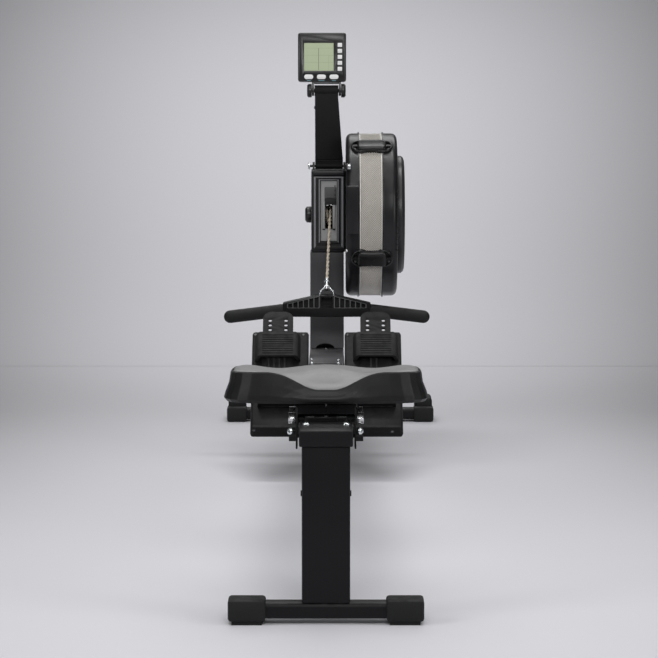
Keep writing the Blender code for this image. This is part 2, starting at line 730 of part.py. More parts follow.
def handle(ferrule_top, direction):
    centre_y = along(HANDLE_S)
    peak = CORE_PEAK_HALF
    end = core_end(CORE_END_TOP)
    low = CORE_END_TOP - CORE_END_DEPTH
    right = [(peak, CORE_PEAK), (end, CORE_END_TOP), (core_end(low), low), (core_end(low) - 0.020, CORE_BOTTOM)]
    points = right + [(-x, z) for x, z in reversed(right)]
    core = outline("handle_core", points, CORE_DEPTH, (0, centre_y, 0), (math.pi / 2, 0, 0), "powder_coat")
    round_edges(core, 0.002, 1)
    front = centre_y - CORE_DEPTH / 2
    for sign in (-1, 1):
        for i in range(CORE_WINDOWS_A_SIDE):
            inner = CORE_POCKET_HALF + CORE_RIB_WALL + 0.003 + i * CORE_RIB_PITCH
            outer = inner + CORE_RIB_PITCH - CORE_RIB_WALL
            slope = (CORE_PEAK - CORE_END_TOP) / (end - peak)
            top_inner = CORE_PEAK - 0.0030 - slope * max(0.0, inner - peak)
            top_outer = CORE_PEAK - 0.0030 - slope * max(0.0, outer - peak)
            quad = [(sign * inner, CORE_LIP), (sign * outer, CORE_LIP), (sign * outer, top_outer),
                    (sign * inner, top_inner)]
            name = "rib_window_{}_{}".format("left" if sign < 0 else "right", i + 1)
            window = outline(name, quad, 2 * CORE_WINDOW_DEPTH, (0, front, 0), (math.pi / 2, 0, 0))
            combine(core, window)
    pocket = box("core_pocket", (2 * CORE_POCKET_HALF, 0.044, 0.0240), (0, front, CORE_LIP + 0.0120))
    combine(core, pocket)
    for side, sign in (("left", -1), ("right", 1)):
        grip(side, sign, centre_y)
        axis = Vector((sign * math.cos(GRIP_DROP), 0, -math.sin(GRIP_DROP)))
        root = Vector((sign * GRIP_INNER_X, centre_y, GRIP_INNER_HEIGHT))
        length = GRIP_ROD_DEPTH - CLEAR + GRIP_ROD_ROOT
        middle = root + axis * (length / 2 - GRIP_ROD_ROOT)
        rod = cylinder("grip_rod_" + side, GRIP_ROD_RADIUS, length, middle, tuple(axis), sides=16)
        combine(core, rod, "UNION")
    clevis(ferrule_top, direction, centre_y)


def grip(side, sign, centre_y):
    length = (GRIP_OUTER_X - GRIP_INNER_X) / math.cos(GRIP_DROP)
    nose = GRIP_RADIUS
    bore = GRIP_ROD_RADIUS + CLEAR
    profile = [(0.0, GRIP_ROD_DEPTH), (bore, GRIP_ROD_DEPTH), (bore, 0.0), (GRIP_RADIUS - 0.0005, 0.0),
               (GRIP_RADIUS, 0.004)]
    profile += [(GRIP_RADIUS * math.cos(a), length - nose + nose * math.sin(a))
                for a in [math.radians(15 * i) for i in range(6)]]
    profile.append((0.0, length))
    piece = turned("grip_" + side, profile, (sign * GRIP_INNER_X, centre_y, GRIP_INNER_HEIGHT), "rubber", 20)
    piece.rotation_euler = (0, GRIP_DROP if sign > 0 else math.pi - GRIP_DROP, 0)


def clevis(top, direction, centre_y):
    """A wire bail on the handle's peak, with the cord's crimped ferrule above it."""
    foot = CORE_PEAK + CLEAR + BAIL_WIRE
    middle = top - direction * (FERRULE_LENGTH / 2)
    body = cylinder("cord_clevis", 0.0046, FERRULE_LENGTH, middle, tuple(direction), "chrome", 16, 0.0062)
    apex = top - direction * (FERRULE_LENGTH - 0.002)
    half = BAIL_WIDTH / 2
    rise = apex.z - foot
    points = []
    for i in range(13):
        angle = math.pi * i / 12
        points.append((half * math.cos(angle), centre_y + (apex.y - centre_y) * math.sin(angle),
                       foot + rise * math.sin(angle) ** 0.6))
    bail = tube("bail_wire", points, BAIL_WIRE, None, 1)
    combine(body, bail, "UNION")


def shell_profile(inner_x, outer_x, bore):
    """Half of the fan case as a cup: a disc wall at inner_x, a round corner and a rim that ends at outer_x."""
    direction = 1 if outer_x > inner_x else -1
    wall = FAN_CASE_WALL
    radius = FAN_CASE_RADIUS
    bend = FAN_CASE_ROUND
    corner = [math.radians(90 * i / 4) for i in range(5)]
    outer = [(radius - bend + bend * math.sin(a), inner_x + direction * bend * (1 - math.cos(a))) for a in corner]
    inside = bend - wall
    inner = [(radius - bend + inside * math.sin(a), inner_x + direction * (bend - inside * math.cos(a)))
             for a in reversed(corner)]
    rim_x = outer_x - direction * FAN_RIM_WIDTH
    rim = [(radius, rim_x), (radius + FAN_RIM_PROUD, rim_x), (radius + FAN_RIM_PROUD, outer_x)]
    return ([(bore, inner_x)] + outer + rim + [(radius - wall, outer_x)] + inner
            + [(bore, inner_x + direction * wall)])


def fan_case():
    centre = (0, along(AXLE_S), AXLE_HEIGHT)
    left = FAN_CASE_LEFT
    inner_edge = left + INNER_SHELL_WIDTH
    outer_edge = inner_edge + BAND_WIDTH
    bore = AXLE_RADIUS + FIT
    inner = turned("fan_case_inner", shell_profile(left, inner_edge, bore), centre, "case_plastic", 44, True)
    boss_height = 0.109
    boss = box("case_boss", (0.027, 0.022, boss_height),
               (left + 0.0150, along(AXLE_S) - FAN_CASE_RADIUS + 0.0070, AXLE_HEIGHT + 0.025))
    round_edges(boss, 0.002, 1)
    keep = turned("case_boss_keep", [(0.0, left - 0.01), (FAN_CASE_RADIUS - 0.0015, left - 0.01),
                                     (FAN_CASE_RADIUS - 0.0015, FAN_CASE_RIGHT), (0.0, FAN_CASE_RIGHT)], centre,
                  None, 48)
    combine(boss, keep)
    combine(inner, boss, "UNION")
    band_outer = FAN_CASE_RADIUS - 0.0010
    band = [(band_outer - BAND_WALL, inner_edge + CLEAR), (band_outer, inner_edge + CLEAR),
            (band_outer, outer_edge - CLEAR), (band_outer - BAND_WALL, outer_edge - CLEAR)]
    turned("fan_mesh_band", band, centre, "mesh_metal", 44, True)
    outer = turned("fan_case_outer", shell_profile(FAN_CASE_RIGHT, outer_edge, bore), centre,
                   "case_plastic", 44, True)
    for i in range(VENT_COUNT):
        angle = 2 * math.pi * i / VENT_COUNT
        cut_vent("case_vent", outer, angle, FAN_CASE_RIGHT, i)
    for i, degrees in enumerate(CLIP_ANGLES):
        case_clip(outer, math.radians(degrees), outer_edge, i)
    cover(centre)


def cut_vent(name, target, angle, x, index):
    middle = (VENT_INNER + VENT_OUTER) / 2
    place = (x, along(AXLE_S) - middle * math.cos(angle), AXLE_HEIGHT + middle * math.sin(angle))
    cutter = box("{}_{}".format(name, index + 1), (0.060, VENT_OUTER - VENT_INNER, VENT_WIDTH), place,
                 turn=(-angle, 0, 0))
    combine(target, cutter)


def case_clip(target, angle, outer_edge, index):
    """A moulded strap that bridges the mesh band, its foot fused to the outer shell."""
    radius = FAN_CASE_RADIUS + FAN_RIM_PROUD + CLEAR + CLIP_THICKNESS / 2
    middle_x = FAN_CASE_LEFT + 0.0110 + CLIP_LENGTH / 2
    half = CLIP_LENGTH / 2
    wide, narrow = 0.0215, 0.0115
    right = [(half, 0.010), (half - 0.005, wide), (half - 0.018, wide), (half - 0.026, narrow)]
    points = ([(x, y) for x, y in right] + [(-x, y) for x, y in reversed(right)]
              + [(-x, -y) for x, y in right] + [(x, -y) for x, y in reversed(right)])
    turn = (-angle + math.pi / 2, 0, 0)
    out = Vector((0, -math.cos(angle), math.sin(angle)))
    hub = Vector((middle_x, along(AXLE_S), AXLE_HEIGHT))
    strap = outline("case_clip_{}".format(index + 1), points, CLIP_THICKNESS, hub + out * radius, turn)
    combine(target, strap, "UNION")
    foot_x = outer_edge + CLEAR + 0.0090
    foot = box("clip_foot_{}".format(index + 1), (0.0170, 0.034, 0.0080 + FAN_RIM_PROUD),
               Vector((foot_x, hub.y, hub.z)) + out * (FAN_CASE_RADIUS - 0.0015 + FAN_RIM_PROUD / 2), turn=turn)
    combine(target, foot, "UNION")


def cover(centre):
    """The inlet cover: a stepped dish with radial air slots round the damper dial."""
    x = FAN_CASE_RIGHT + CLEAR
    top = x + COVER_HEIGHT
    rim = COVER_RADIUS
    wall = COVER_WALL
    hole = DIAL_RADIUS + FIT
    profile = [(rim, x), (rim, x + 0.0095), (rim - 0.004, x + 0.0140), (rim - 0.010, top), (hole, top),
               (hole, top - wall), (rim - 0.010 - wall, top - wall), (rim - 0.006 - wall, x + 0.0115),
               (rim - wall, x + 0.0085), (rim - wall, x)]
    dish = turned("fan_cover", profile, centre, "case_plastic", 40, True)
    for i in range(VENT_COUNT):
        cut_vent("cover_vent", dish, 2 * math.pi * i / VENT_COUNT, top, i)
    bottom = x + CLEAR
    dial = [(0.0, bottom), (DIAL_RADIUS, bottom), (DIAL_RADIUS, bottom + DIAL_HEIGHT),
            (DIAL_RADIUS - 0.006, bottom + DIAL_HEIGHT + 0.0015), (0.0, bottom + DIAL_HEIGHT + 0.0015)]
    knob = turned("damper_dial", dial, centre, "case_plastic", 32)
    ridge = box("dial_ridge", (0.006, 2 * DIAL_RADIUS - 0.014, 0.010),
                (bottom + DIAL_HEIGHT + 0.0005, centre[1], centre[2]))
    combine(knob, ridge, "UNION")


def fan():
    centre = Vector((0, along(AXLE_S), AXLE_HEIGHT))
    middle = FAN_CASE_LEFT + INNER_SHELL_WIDTH + BAND_WIDTH / 2
    half = BLADE_WIDTH / 2
    disc = 0.0015
    bore = AXLE_RADIUS + CLEAR
    profile = [(bore, middle - half), (FAN_HUB_RADIUS, middle - half), (FAN_HUB_RADIUS, middle - disc),
               (BLADE_TIP - 0.016, middle - disc), (BLADE_TIP - 0.016, middle + disc),
               (FAN_HUB_RADIUS, middle + disc), (FAN_HUB_RADIUS, middle + half), (bore, middle + half)]
    wheel = turned("fan_wheel", profile, centre, "rail_metal", 40, True)
    bm = bmesh.new()
    for i in range(BLADE_COUNT):
        made = bmesh.ops.create_cube(bm, size=1.0)["verts"]
        bmesh.ops.scale(bm, vec=(BLADE_WIDTH, BLADE_WALL, BLADE_TIP - BLADE_INNER), verts=made)
        bmesh.ops.translate(bm, vec=(middle, 0, (BLADE_TIP + BLADE_INNER) / 2), verts=made)
        turn = Matrix.Rotation(2 * math.pi * i / BLADE_COUNT, 3, "X")
        bmesh.ops.rotate(bm, matrix=turn, verts=made)
    mesh = bpy.data.meshes.new("fan_blades")
    bm.to_mesh(mesh)
    bm.free()
    blades = new_object("fan_blades", mesh)
    blades.location = centre
    combine(wheel, blades, "UNION")
    start = HEAD_LEFT + 0.002
    length = FAN_CASE_RIGHT + 0.0 - start
    axle_middle = (start + length / 2, centre.y, centre.z)
    smooth(cylinder("fan_axle", AXLE_RADIUS, length, axle_middle, (1, 0, 0), "chrome", 24))


def monitor_arm():
    pivot = Vector((ARM_CENTRE_X, along(AXLE_S), ARM_PIVOT_HEIGHT))
    bottom = 0.014
    top = ARM_LENGTH - TILT_BARREL_RADIUS / 3
    low, high = ARM_WALL_BOTTOM / 2, ARM_WALL_TOP / 2
    points = [(-low, bottom), (low, bottom), (ARM_TOP_SHIFT + high, top), (ARM_TOP_SHIFT - high, top)]
    arm = outline("monitor_arm", points, ARM_THICKNESS, pivot, (math.pi / 2, 0, 0), "powder_coat")
    round_edges(arm, 0.003, 2)
    lug = cylinder("arm_lug", ARM_LUG_RADIUS, ARM_WALL_BOTTOM, pivot, (1, 0, 0), sides=24)
    web = box("arm_web", (ARM_WALL_BOTTOM, 0.0120, 0.020), pivot + Vector((0, 0, 0.0110)))
    pin_hole = cylinder("arm_pin_hole", PIN_RADIUS - 0.0012 + CLEAR, 0.2, pivot, (1, 0, 0), sides=24)
    combine(arm, lug, "UNION")
    combine(arm, web, "UNION")
    combine(arm, pin_hole)
    # A full-width barrel turns on the tilt pin, between the monitor's two lugs
    tilt = Vector((ARM_CENTRE_X + ARM_TOP_SHIFT, along(AXLE_S), TILT_HEIGHT))
    barrel = cylinder("arm_barrel", TILT_BARREL_RADIUS, TILT_BARREL_LENGTH, tilt, (1, 0, 0), sides=32)
    combine(arm, barrel, "UNION")
    hole = cylinder("tilt_hole", TILT_PIN_RADIUS + CLEAR, 0.2, tilt, (1, 0, 0), sides=24)
    combine(arm, hole)
    knob = TILT_KNOB_LENGTH
    reach = TILT_BARREL_LENGTH / 2 + FIT + TILT_LUG_WALL + CLEAR
    profile = [(0.0, -reach - knob), (TILT_KNOB_RADIUS - 0.003, -reach - knob),
               (TILT_KNOB_RADIUS, -reach - knob + 0.003), (TILT_KNOB_RADIUS, -reach), (TILT_PIN_RADIUS, -reach),
               (TILT_PIN_RADIUS, reach), (TILT_KNOB_RADIUS, reach), (TILT_KNOB_RADIUS, reach + knob - 0.003),
               (TILT_KNOB_RADIUS - 0.003, reach + knob), (0.0, reach + knob)]
    turned("tilt_pin", profile, tilt, "case_plastic", 20)
    return tilt


def monitor(tilt):
    lean = empty("monitor_lean", tilt, (-MONITOR_LEAN, 0, 0))
    offset = MONITOR_CENTRE_X - tilt.x
    middle_z = MONITOR_LIFT + MONITOR_HEIGHT / 2
    case = box("monitor_case", (MONITOR_WIDTH, MONITOR_DEPTH, MONITOR_HEIGHT), (offset, 0, middle_z), "case_plastic")
    round_edges(case, 0.005, 2)
    span = TILT_BARREL_LENGTH + 2 * (FIT + TILT_LUG_WALL)
    bridge = box("tilt_bridge", (span, 0.0150, BRACKET_BRIDGE), (0, 0, MONITOR_LIFT + 0.0010 - BRACKET_BRIDGE / 2))
    combine(case, bridge, "UNION")
    lugs = []
    for name, sign in (("left", -1), ("right", 1)):
        x = sign * (span - TILT_LUG_WALL) / 2
        lug = cylinder("tilt_lug_" + name, TILT_BARREL_RADIUS - 0.0005, TILT_LUG_WALL, (x, 0, 0), (1, 0, 0), sides=24)
        web = box("tilt_web_" + name, (TILT_LUG_WALL - 0.0008, 0.0180, MONITOR_LIFT - 0.0010), (x, 0, MONITOR_LIFT / 2))
        combine(case, web, "UNION")
        combine(case, lug, "UNION")
        lugs += [lug, web]
    hole = cylinder("monitor_hole", TILT_PIN_RADIUS + CLEAR, 0.2, (0, 0, 0), (1, 0, 0), sides=24)
    combine(case, hole)
    face = -MONITOR_DEPTH / 2
    lcd_x = LCD_CENTRE_X - tilt.x
    lcd_z = MONITOR_LIFT + LCD_CENTRE_Z
    recess = box("lcd_recess", (LCD_WIDTH + 2 * CLEAR, 0.0060, LCD_HEIGHT + 2 * CLEAR), (lcd_x, face, lcd_z))
    combine(case, recess)
    lcd = box("lcd_window", (LCD_WIDTH, 0.0016, LCD_HEIGHT), (lcd_x, face + 0.0030 - CLEAR - 0.0008, lcd_z), "lcd")
    pieces = [case, bridge, hole, recess, lcd] + lugs
    depth = 0.0070
    top = MONITOR_LIFT + MONITOR_HEIGHT
    strip_x = SIDE_BUTTON_X - tilt.x
    for i in range(SIDE_BUTTON_COUNT):
        z = top - SIDE_BUTTON_DROP - i * SIDE_BUTTON_PITCH
        size = (SIDE_BUTTON_SIZE, depth, SIDE_BUTTON_SIZE * 0.9)
        pieces += push_button("side_button_{}".format(i + 1), case, size, (strip_x, face, z), 0.0012)
    for i in range(OVAL_BUTTON_COUNT):
        x = OVAL_BUTTON_X - tilt.x + i * OVAL_BUTTON_PITCH
        size = (OVAL_BUTTON_WIDTH, depth, OVAL_BUTTON_HEIGHT)
        pieces += push_button("oval_button_{}".format(i + 1), case, size, (x, face, top - OVAL_BUTTON_DROP), 0.0050)
    under(lean, *pieces)


def push_button(name, case, size, place, rounding):
    """One key in its well, with room behind it for its travel."""
    x, face, z = place
    well = box(name + "_well", (size[0] + 2 * FIT * 0.6, 2 * (size[1] + BUTTON_TRAVEL), size[2] + 2 * FIT * 0.6),
               (x, face, z))
    key = box(name, size, (x, face - BUTTON_PROUD + size[1] / 2, z), "button_white")
    round_key(key, size, rounding)
    combine(case, well)
    return [well, key]


def round_key(key, size, rounding):
    """Rounds the four edges that run into the case."""
    bm = bmesh.new()
    bm.from_mesh(key.data)
    edges = [e for e in bm.edges if abs(e.verts[0].co.y - e.verts[1].co.y) > size[1] / 2]
    bmesh.ops.bevel(bm, geom=edges, offset=rounding, segments=2 + int(rounding / 0.0015), affect="EDGES",
                     profile=0.5)
    bm.to_mesh(key.data)
    bm.free()


def plate_frame(side, sign):
    """An empty on the foot plate's face: X across, Y up along the plate, Z out of its face."""
    x = sign * (NECK_WIDTH / 2 + 0.0012 + PLATE_WIDTH / 2)
    return empty("foot_frame_" + side, (x, along(PLATE_TOP_S), PLATE_TOP_HEIGHT), (PLATE_SLOPE, 0, 0))


def foot_rest(side, sign):
    frame = plate_frame(side, sign)
    middle = -PLATE_LENGTH / 2
    plate = box("foot_plate_" + side, (PLATE_WIDTH, PLATE_LENGTH, PLATE_RIM), (0, middle, -PLATE_RIM / 2),
                "case_plastic")
    round_edges(plate, 0.006, 2)
    hollow = box("plate_hollow_" + side, (PLATE_WIDTH - 2 * PLATE_WALL, PLATE_LENGTH - 2 * PLATE_WALL, PLATE_RIM),
                 (0, middle, -PLATE_RIM / 2 - PLATE_WALL))
    combine(plate, hollow)
    heel = box("heel_stop_" + side, (PLATE_WIDTH - 0.012, PLATE_WALL, HEEL_LIP + 0.004),
               (0, -PLATE_LENGTH + PLATE_WALL / 2 + 0.001, HEEL_LIP / 2 - 0.004))
    combine(plate, heel, "UNION")
    slider, slider_cutters = toe_slider(side, sign * SLIDER_SHIFT)
    strap, strap_cutters = foot_strap(side, sign * SLIDER_SHIFT)
    under(frame, plate, hollow, heel, slider, strap, *slider_cutters, *strap_cutters)


def toe_slider(side, shift):
    """The adjustable tongue: a thin plate with two rows of holes that shows above the foot plate."""
    half = SLIDER_WIDTH / 2
    corner = 0.020
    arc = [math.radians(90 * i / 5) for i in range(6)]
    right_top = [(half - corner + corner * math.sin(a), SLIDER_PROUD - corner + corner * math.cos(a)) for a in arc]
    left_top = [(-x, y) for x, y in reversed(right_top)]
    bottom = SLIDER_PROUD - SLIDER_LENGTH
    points = right_top + [(half, bottom), (-half, bottom)] + left_top
    level = CLEAR + SLIDER_WALL / 2
    slider = outline("toe_slider_" + side, points, SLIDER_WALL, (shift, 0, level), (0, 0, 0), "case_plastic")
    cutters = []
    for row in range(3):
        for sign in (-1, 1):
            y = SLIDER_PROUD - SLIDER_HOLE_DROP - row * SLIDER_HOLE_PITCH
            name = "slider_hole_{}_{}_{}".format(side, row + 1, "a" if sign < 0 else "b")
            x = shift + sign * SLIDER_HOLE_SPREAD / 2
            hole = cylinder(name, SLIDER_HOLE, 0.02, (x, y, level), (0, 0, 1), sides=12)
            combine(slider, hole)
            cutters.append(hole)
    cup = box("heel_cup_" + side, (HEEL_CUP_WIDTH, 0.004, HEEL_CUP_HEIGHT),
              (shift, bottom + 0.003, HEEL_CUP_HEIGHT / 2 + 2 * CLEAR))
    combine(slider, cup, "UNION")
    return slider, cutters + [cup]


def foot_strap(side, shift):
    """A ribbed rubber strap that stands flat-topped over the plate, its two feet on the plate's face."""
    half = STRAP_WIDTH / 2
    level = CLEAR
    crown = level + STRAP_RISE + STRAP_WALL
    outer = [(half + 0.002, level), (half + 0.001, level + 0.006), (half - 0.45 * STRAP_CORNER, crown - 0.003),
             (half - STRAP_CORNER, crown)]
    inner = [(half - 0.006, level), (half - 0.008, level + STRAP_RISE / 2), (half - 0.013, level + STRAP_RISE)]
    points = outer + [(-x, z) for x, z in reversed(outer)] + [(-x, z) for x, z in inner] + list(reversed(inner))
    middle = -STRAP_START - STRAP_LENGTH / 2
    strap = outline("foot_strap_" + side, points, STRAP_LENGTH, (shift, middle, 0), (math.pi / 2, 0, 0), "rubber")
    cutters = []
    pitch = (STRAP_LENGTH - 2 * STRAP_BORDER) / STRAP_RIBS
    for i in range(STRAP_RIBS):
        y = -STRAP_START - STRAP_BORDER - pitch * (i + 0.5)
        rib = box("strap_rib_{}_{}".format(side, i + 1), (2 * (half - 1.6 * STRAP_CORNER), pitch * 0.52, STRAP_WALL),
                  (shift, y, crown - STRAP_WALL / 5))
        cutters.append(rib)
    for rib in cutters:
        combine(strap, rib, "UNION")
    return strap, cutters


def neck_underside(s):
    """Height of the neck's lower edge at s."""
    end = COLUMN_FRONT - NECK_SHOULDER
    low, high = rail_height(NECK_START) - RAIL_DEPTH, rail_height(COLUMN_FRONT) - NECK_THICKNESS
    return low + (high - low) * (s - NECK_START) / (end - NECK_START)


def foot_bar():
    """The cross bar under the neck that both foot plates rest on, with the saddle that it hangs from."""
    s = PLATE_TOP_S - FOOT_BAR_REACH
    plane = PLATE_TOP_HEIGHT - math.tan(PLATE_SLOPE) * FOOT_BAR_REACH
    z = plane - (PLATE_RIM + FOOT_BAR_RADIUS + 0.0006) / math.cos(PLATE_SLOPE)
    length = 2 * (NECK_WIDTH / 2 + PLATE_WIDTH) - 0.020
    bar = cylinder("foot_rest_bar", FOOT_BAR_RADIUS, length, (0, along(s), z), (1, 0, 0), "powder_coat", 20)
    smooth(bar)
    saddle_top = neck_underside(s + FOOT_BAR_DEPTH / 2) - CLEAR
    saddle_bottom = z - FOOT_BAR_RADIUS / 2
    saddle = box("bar_saddle", (NECK_WIDTH - 0.006, FOOT_BAR_DEPTH, saddle_top - saddle_bottom),
                 (0, along(s), (saddle_top + saddle_bottom) / 2))
    combine(bar, saddle, "UNION")


def seat_ring(half_width, start, end, height, count=56):
    """A rounded rectangle round the seat with evenly spaced points, in the rail's frame, its height from (x, y)."""
    middle = (start + end) / 2
    half_length = (end - start) / 2
    fine = []
    for i in range(721):
        angle = 2 * math.pi * i / 720
        c, s = math.cos(angle), math.sin(angle)
        fine.append(Vector((half_width * math.copysign(abs(c) ** 0.42, c),
                            middle + half_length * math.copysign(abs(s) ** 0.42, s))))
    travel = [0.0]
    for a, b in zip(fine, fine[1:]):
        travel.append(travel[-1] + (b - a).length)
    ring = []
    at = 0
    for i in range(count):
        goal = travel[-1] * i / count
        while travel[at + 1] < goal:
            at += 1
        share = (goal - travel[at]) / (travel[at + 1] - travel[at])
        x, y = fine[at].lerp(fine[at + 1], share)
        ring.append((x, y, height(x, y)))
    return ring


def eased(value):
    value = min(1.0, max(0.0, value))
    return value * value * (3 - 2 * value)


def rim_height(x, y):
    """Top of the seat's edge: raised at the rear with a dip for the tail bone, and two leg hollows in front."""
    back = min(1.0, max(0.0, 1 - (y - SEAT_START) / SEAT_LENGTH))
    side = eased((abs(x) - SEAT_NOTCH_FLAT) / (SEAT_NOTCH_HALF - SEAT_NOTCH_FLAT))
    dip = SEAT_NOTCH_DROP * (1 - side) * max(0.0, 1 - (1 - back) / 0.35)
    legs = sum(math.exp(-((x - centre) / 0.038) ** 2) for centre in (-0.079, 0.079))
    return SEAT_RIM + SEAT_REAR_RISE * back ** 2 - dip - SEAT_LEG_DROP * legs * eased(1 - back / 0.6)


def pad_height(x, y):
    """The cushion's top: two shallow hollows either side of a low ridge, level with the edge round it."""
    middle = SEAT_START + SEAT_LENGTH * 0.42
    hollow = 0.0
    for centre in (-0.074, 0.074):
        hollow += 0.010 * math.exp(-((x - centre) / 0.045) ** 2 - ((y - middle) / 0.070) ** 2)
    return rim_height(x, y) + 0.0005 - hollow


def seat(frame):
    start, end = SEAT_START, SEAT_START + SEAT_LENGTH
    top, bottom = SEAT_WIDTH_TOP / 2, SEAT_WIDTH_BOTTOM / 2
    wall = SEAT_WALL
    floor = SEAT_BOTTOM

    def level(z):
        return lambda x, y: z

    def shoulder(x, y):
        return floor + 0.62 * (rim_height(x, y) - floor)

    def inner_floor(x, y):
        return floor + wall

    rings = [
        seat_ring(bottom - 0.030, start + 0.020, end - 0.020, level(floor)),
        seat_ring(bottom - 0.004, start + 0.002, end - 0.004, level(floor + 0.001)),
        seat_ring(bottom, start, end, level(floor + 0.006)),
        seat_ring(bottom - 0.002, start + 0.0005, end - 0.0005, level(floor + 0.014)),
        seat_ring((top + bottom) / 2 - 0.002, start + 0.003, end - 0.003, shoulder),
        seat_ring(top + 0.002, start + 0.006, end - 0.006, lambda x, y: rim_height(x, y) - 0.002),
        seat_ring(top - 0.001, start + 0.008, end - 0.008, rim_height),
        seat_ring(top - wall, start + 0.012, end - 0.012, lambda x, y: rim_height(x, y) - 0.003),
        seat_ring(top - wall, start + 0.013, end - 0.013, lambda x, y: inner_floor(x, y) + 0.004),
        seat_ring(top - wall - 0.020, start + 0.030, end - 0.030, inner_floor),
    ]
    loft("seat_shell", rings, "seat_shell", frame)
    gap = 0.0012
    base = floor + wall + gap
    outer = top - wall - gap
    lengths = (start + 0.013 + gap, end - 0.013 - gap)

    def crown(share, drop):
        def place(x, y):
            return pad_height(x, y) - drop * share
        return place

    middle = (lengths[0] + lengths[1]) / 2
    half = (lengths[1] - lengths[0]) / 2
    pad_rings = [seat_ring(outer - 0.025, lengths[0] + 0.022, lengths[1] - 0.022, level(base)),
                 seat_ring(outer - 0.006, lengths[0] + 0.004, lengths[1] - 0.004, level(base + 0.004)),
                 seat_ring(outer, lengths[0], lengths[1], crown(1.0, 0.0100)),
                 seat_ring(outer, lengths[0], lengths[1], crown(1.0, 0.0040))]
    for share in (0.985, 0.95, 0.88, 0.76, 0.60, 0.42, 0.22, 0.06):
        drop = 0.0030 * max(0.0, (share - 0.85) / 0.15) ** 2
        pad_rings.append(seat_ring(outer * share, middle - half * share, middle + half * share,
                                   crown(1.0, drop)))
    loft("seat_pad", pad_rings, "seat_pad", frame)


def carriage(frame):
    inner = PLATE_GAP / 2
    axle_level = ROLLER_RADIUS + CLEAR
    lower_level = -RAIL_FLANGE - LOWER_ROLLER_RADIUS - FIT
    front_axle = REAR_AXLE_OFFSET + AXLE_SPREAD
    made = []
    for side, sign in (("left", -1), ("right", 1)):
        start, end = REAR_AXLE_OFFSET - 0.022, front_axle + 0.024
        low, high = CARRIAGE_BOTTOM, CARRIAGE_TOP
        points = [(start, high), (end, high), (end, axle_level - 0.014), (REAR_AXLE_OFFSET + 0.028, low + 0.006),
                  (REAR_AXLE_OFFSET + 0.022, low), (start + 0.006, low), (start, low + 0.006)]
        middle = sign * (inner + CARRIAGE_WALL / 2)
        plate = outline("carriage_plate_" + side, points, CARRIAGE_WALL, (middle, 0, 0),
                        (math.pi / 2, 0, math.pi / 2), "powder_coat")
        made.append(plate)
        inset = CARRIAGE_WALL / 4
        reach = inner + CARRIAGE_WALL - inset - CARRIAGE_SPLIT
        flange = box("carriage_flange_" + side, (reach, end - start - 2 * inset, CARRIAGE_WALL),
                     (sign * (CARRIAGE_SPLIT + reach / 2), (start + end) / 2, high - CARRIAGE_WALL / 2 - inset))
        combine(plate, flange, "UNION")
        skirt_bottom = axle_level + 0.0085
        skirt_top = high - CARRIAGE_WALL / 2 - inset
        skirt = box("carriage_skirt_" + side, (reach - inset, CARRIAGE_WALL, skirt_top - skirt_bottom),
                    (sign * (CARRIAGE_SPLIT + 0.0002 + (reach - inset) / 2), start + 2 * inset + CARRIAGE_WALL / 2,
                     (skirt_top + skirt_bottom) / 2))
        combine(plate, skirt, "UNION")
        made += [flange, skirt]
        for index, u in enumerate((REAR_AXLE_OFFSET, front_axle)):
            bore = cylinder("plate_bore_{}_{}".format(side, index + 1), 0.0050 + CLEAR, 0.02,
                            (middle, u, axle_level), (1, 0, 0), sides=20)
            combine(plate, bore)
            made.append(bore)
        stub_end = RAIL_WEB / 2 + 0.0025
        stub_length = inner + CARRIAGE_WALL / 2 - stub_end
        stub = cylinder("lower_stub_" + side, 0.0040, stub_length,
                        (sign * (stub_end + stub_length / 2), REAR_AXLE_OFFSET, lower_level), (1, 0, 0), sides=14)
        nut = cylinder("lower_nut_" + side, NUT_RADIUS, NUT_LENGTH,
                       (sign * (inner + CARRIAGE_WALL + NUT_LENGTH / 2 - 0.0003), REAR_AXLE_OFFSET, lower_level),
                       (1, 0, 0), sides=6)
        combine(plate, stub, "UNION")
        combine(plate, nut, "UNION")
        made += [stub, nut]
        half = 0.0060
        profile = [(0.0040 + CLEAR, -half), (LOWER_ROLLER_RADIUS - 0.001, -half),
                   (LOWER_ROLLER_RADIUS, -half + 0.001), (LOWER_ROLLER_RADIUS, half - 0.001),
                   (LOWER_ROLLER_RADIUS - 0.001, half), (0.0040 + CLEAR, half)]
        made.append(turned("lower_roller_" + side, profile, (sign * 0.0290, REAR_AXLE_OFFSET, lower_level),
                           "wheel_plastic", 16, True))
    for name, u in (("rear", REAR_AXLE_OFFSET), ("front", front_axle)):
        made += seat_axle(name, u, axle_level, inner)
    under(frame, *made)


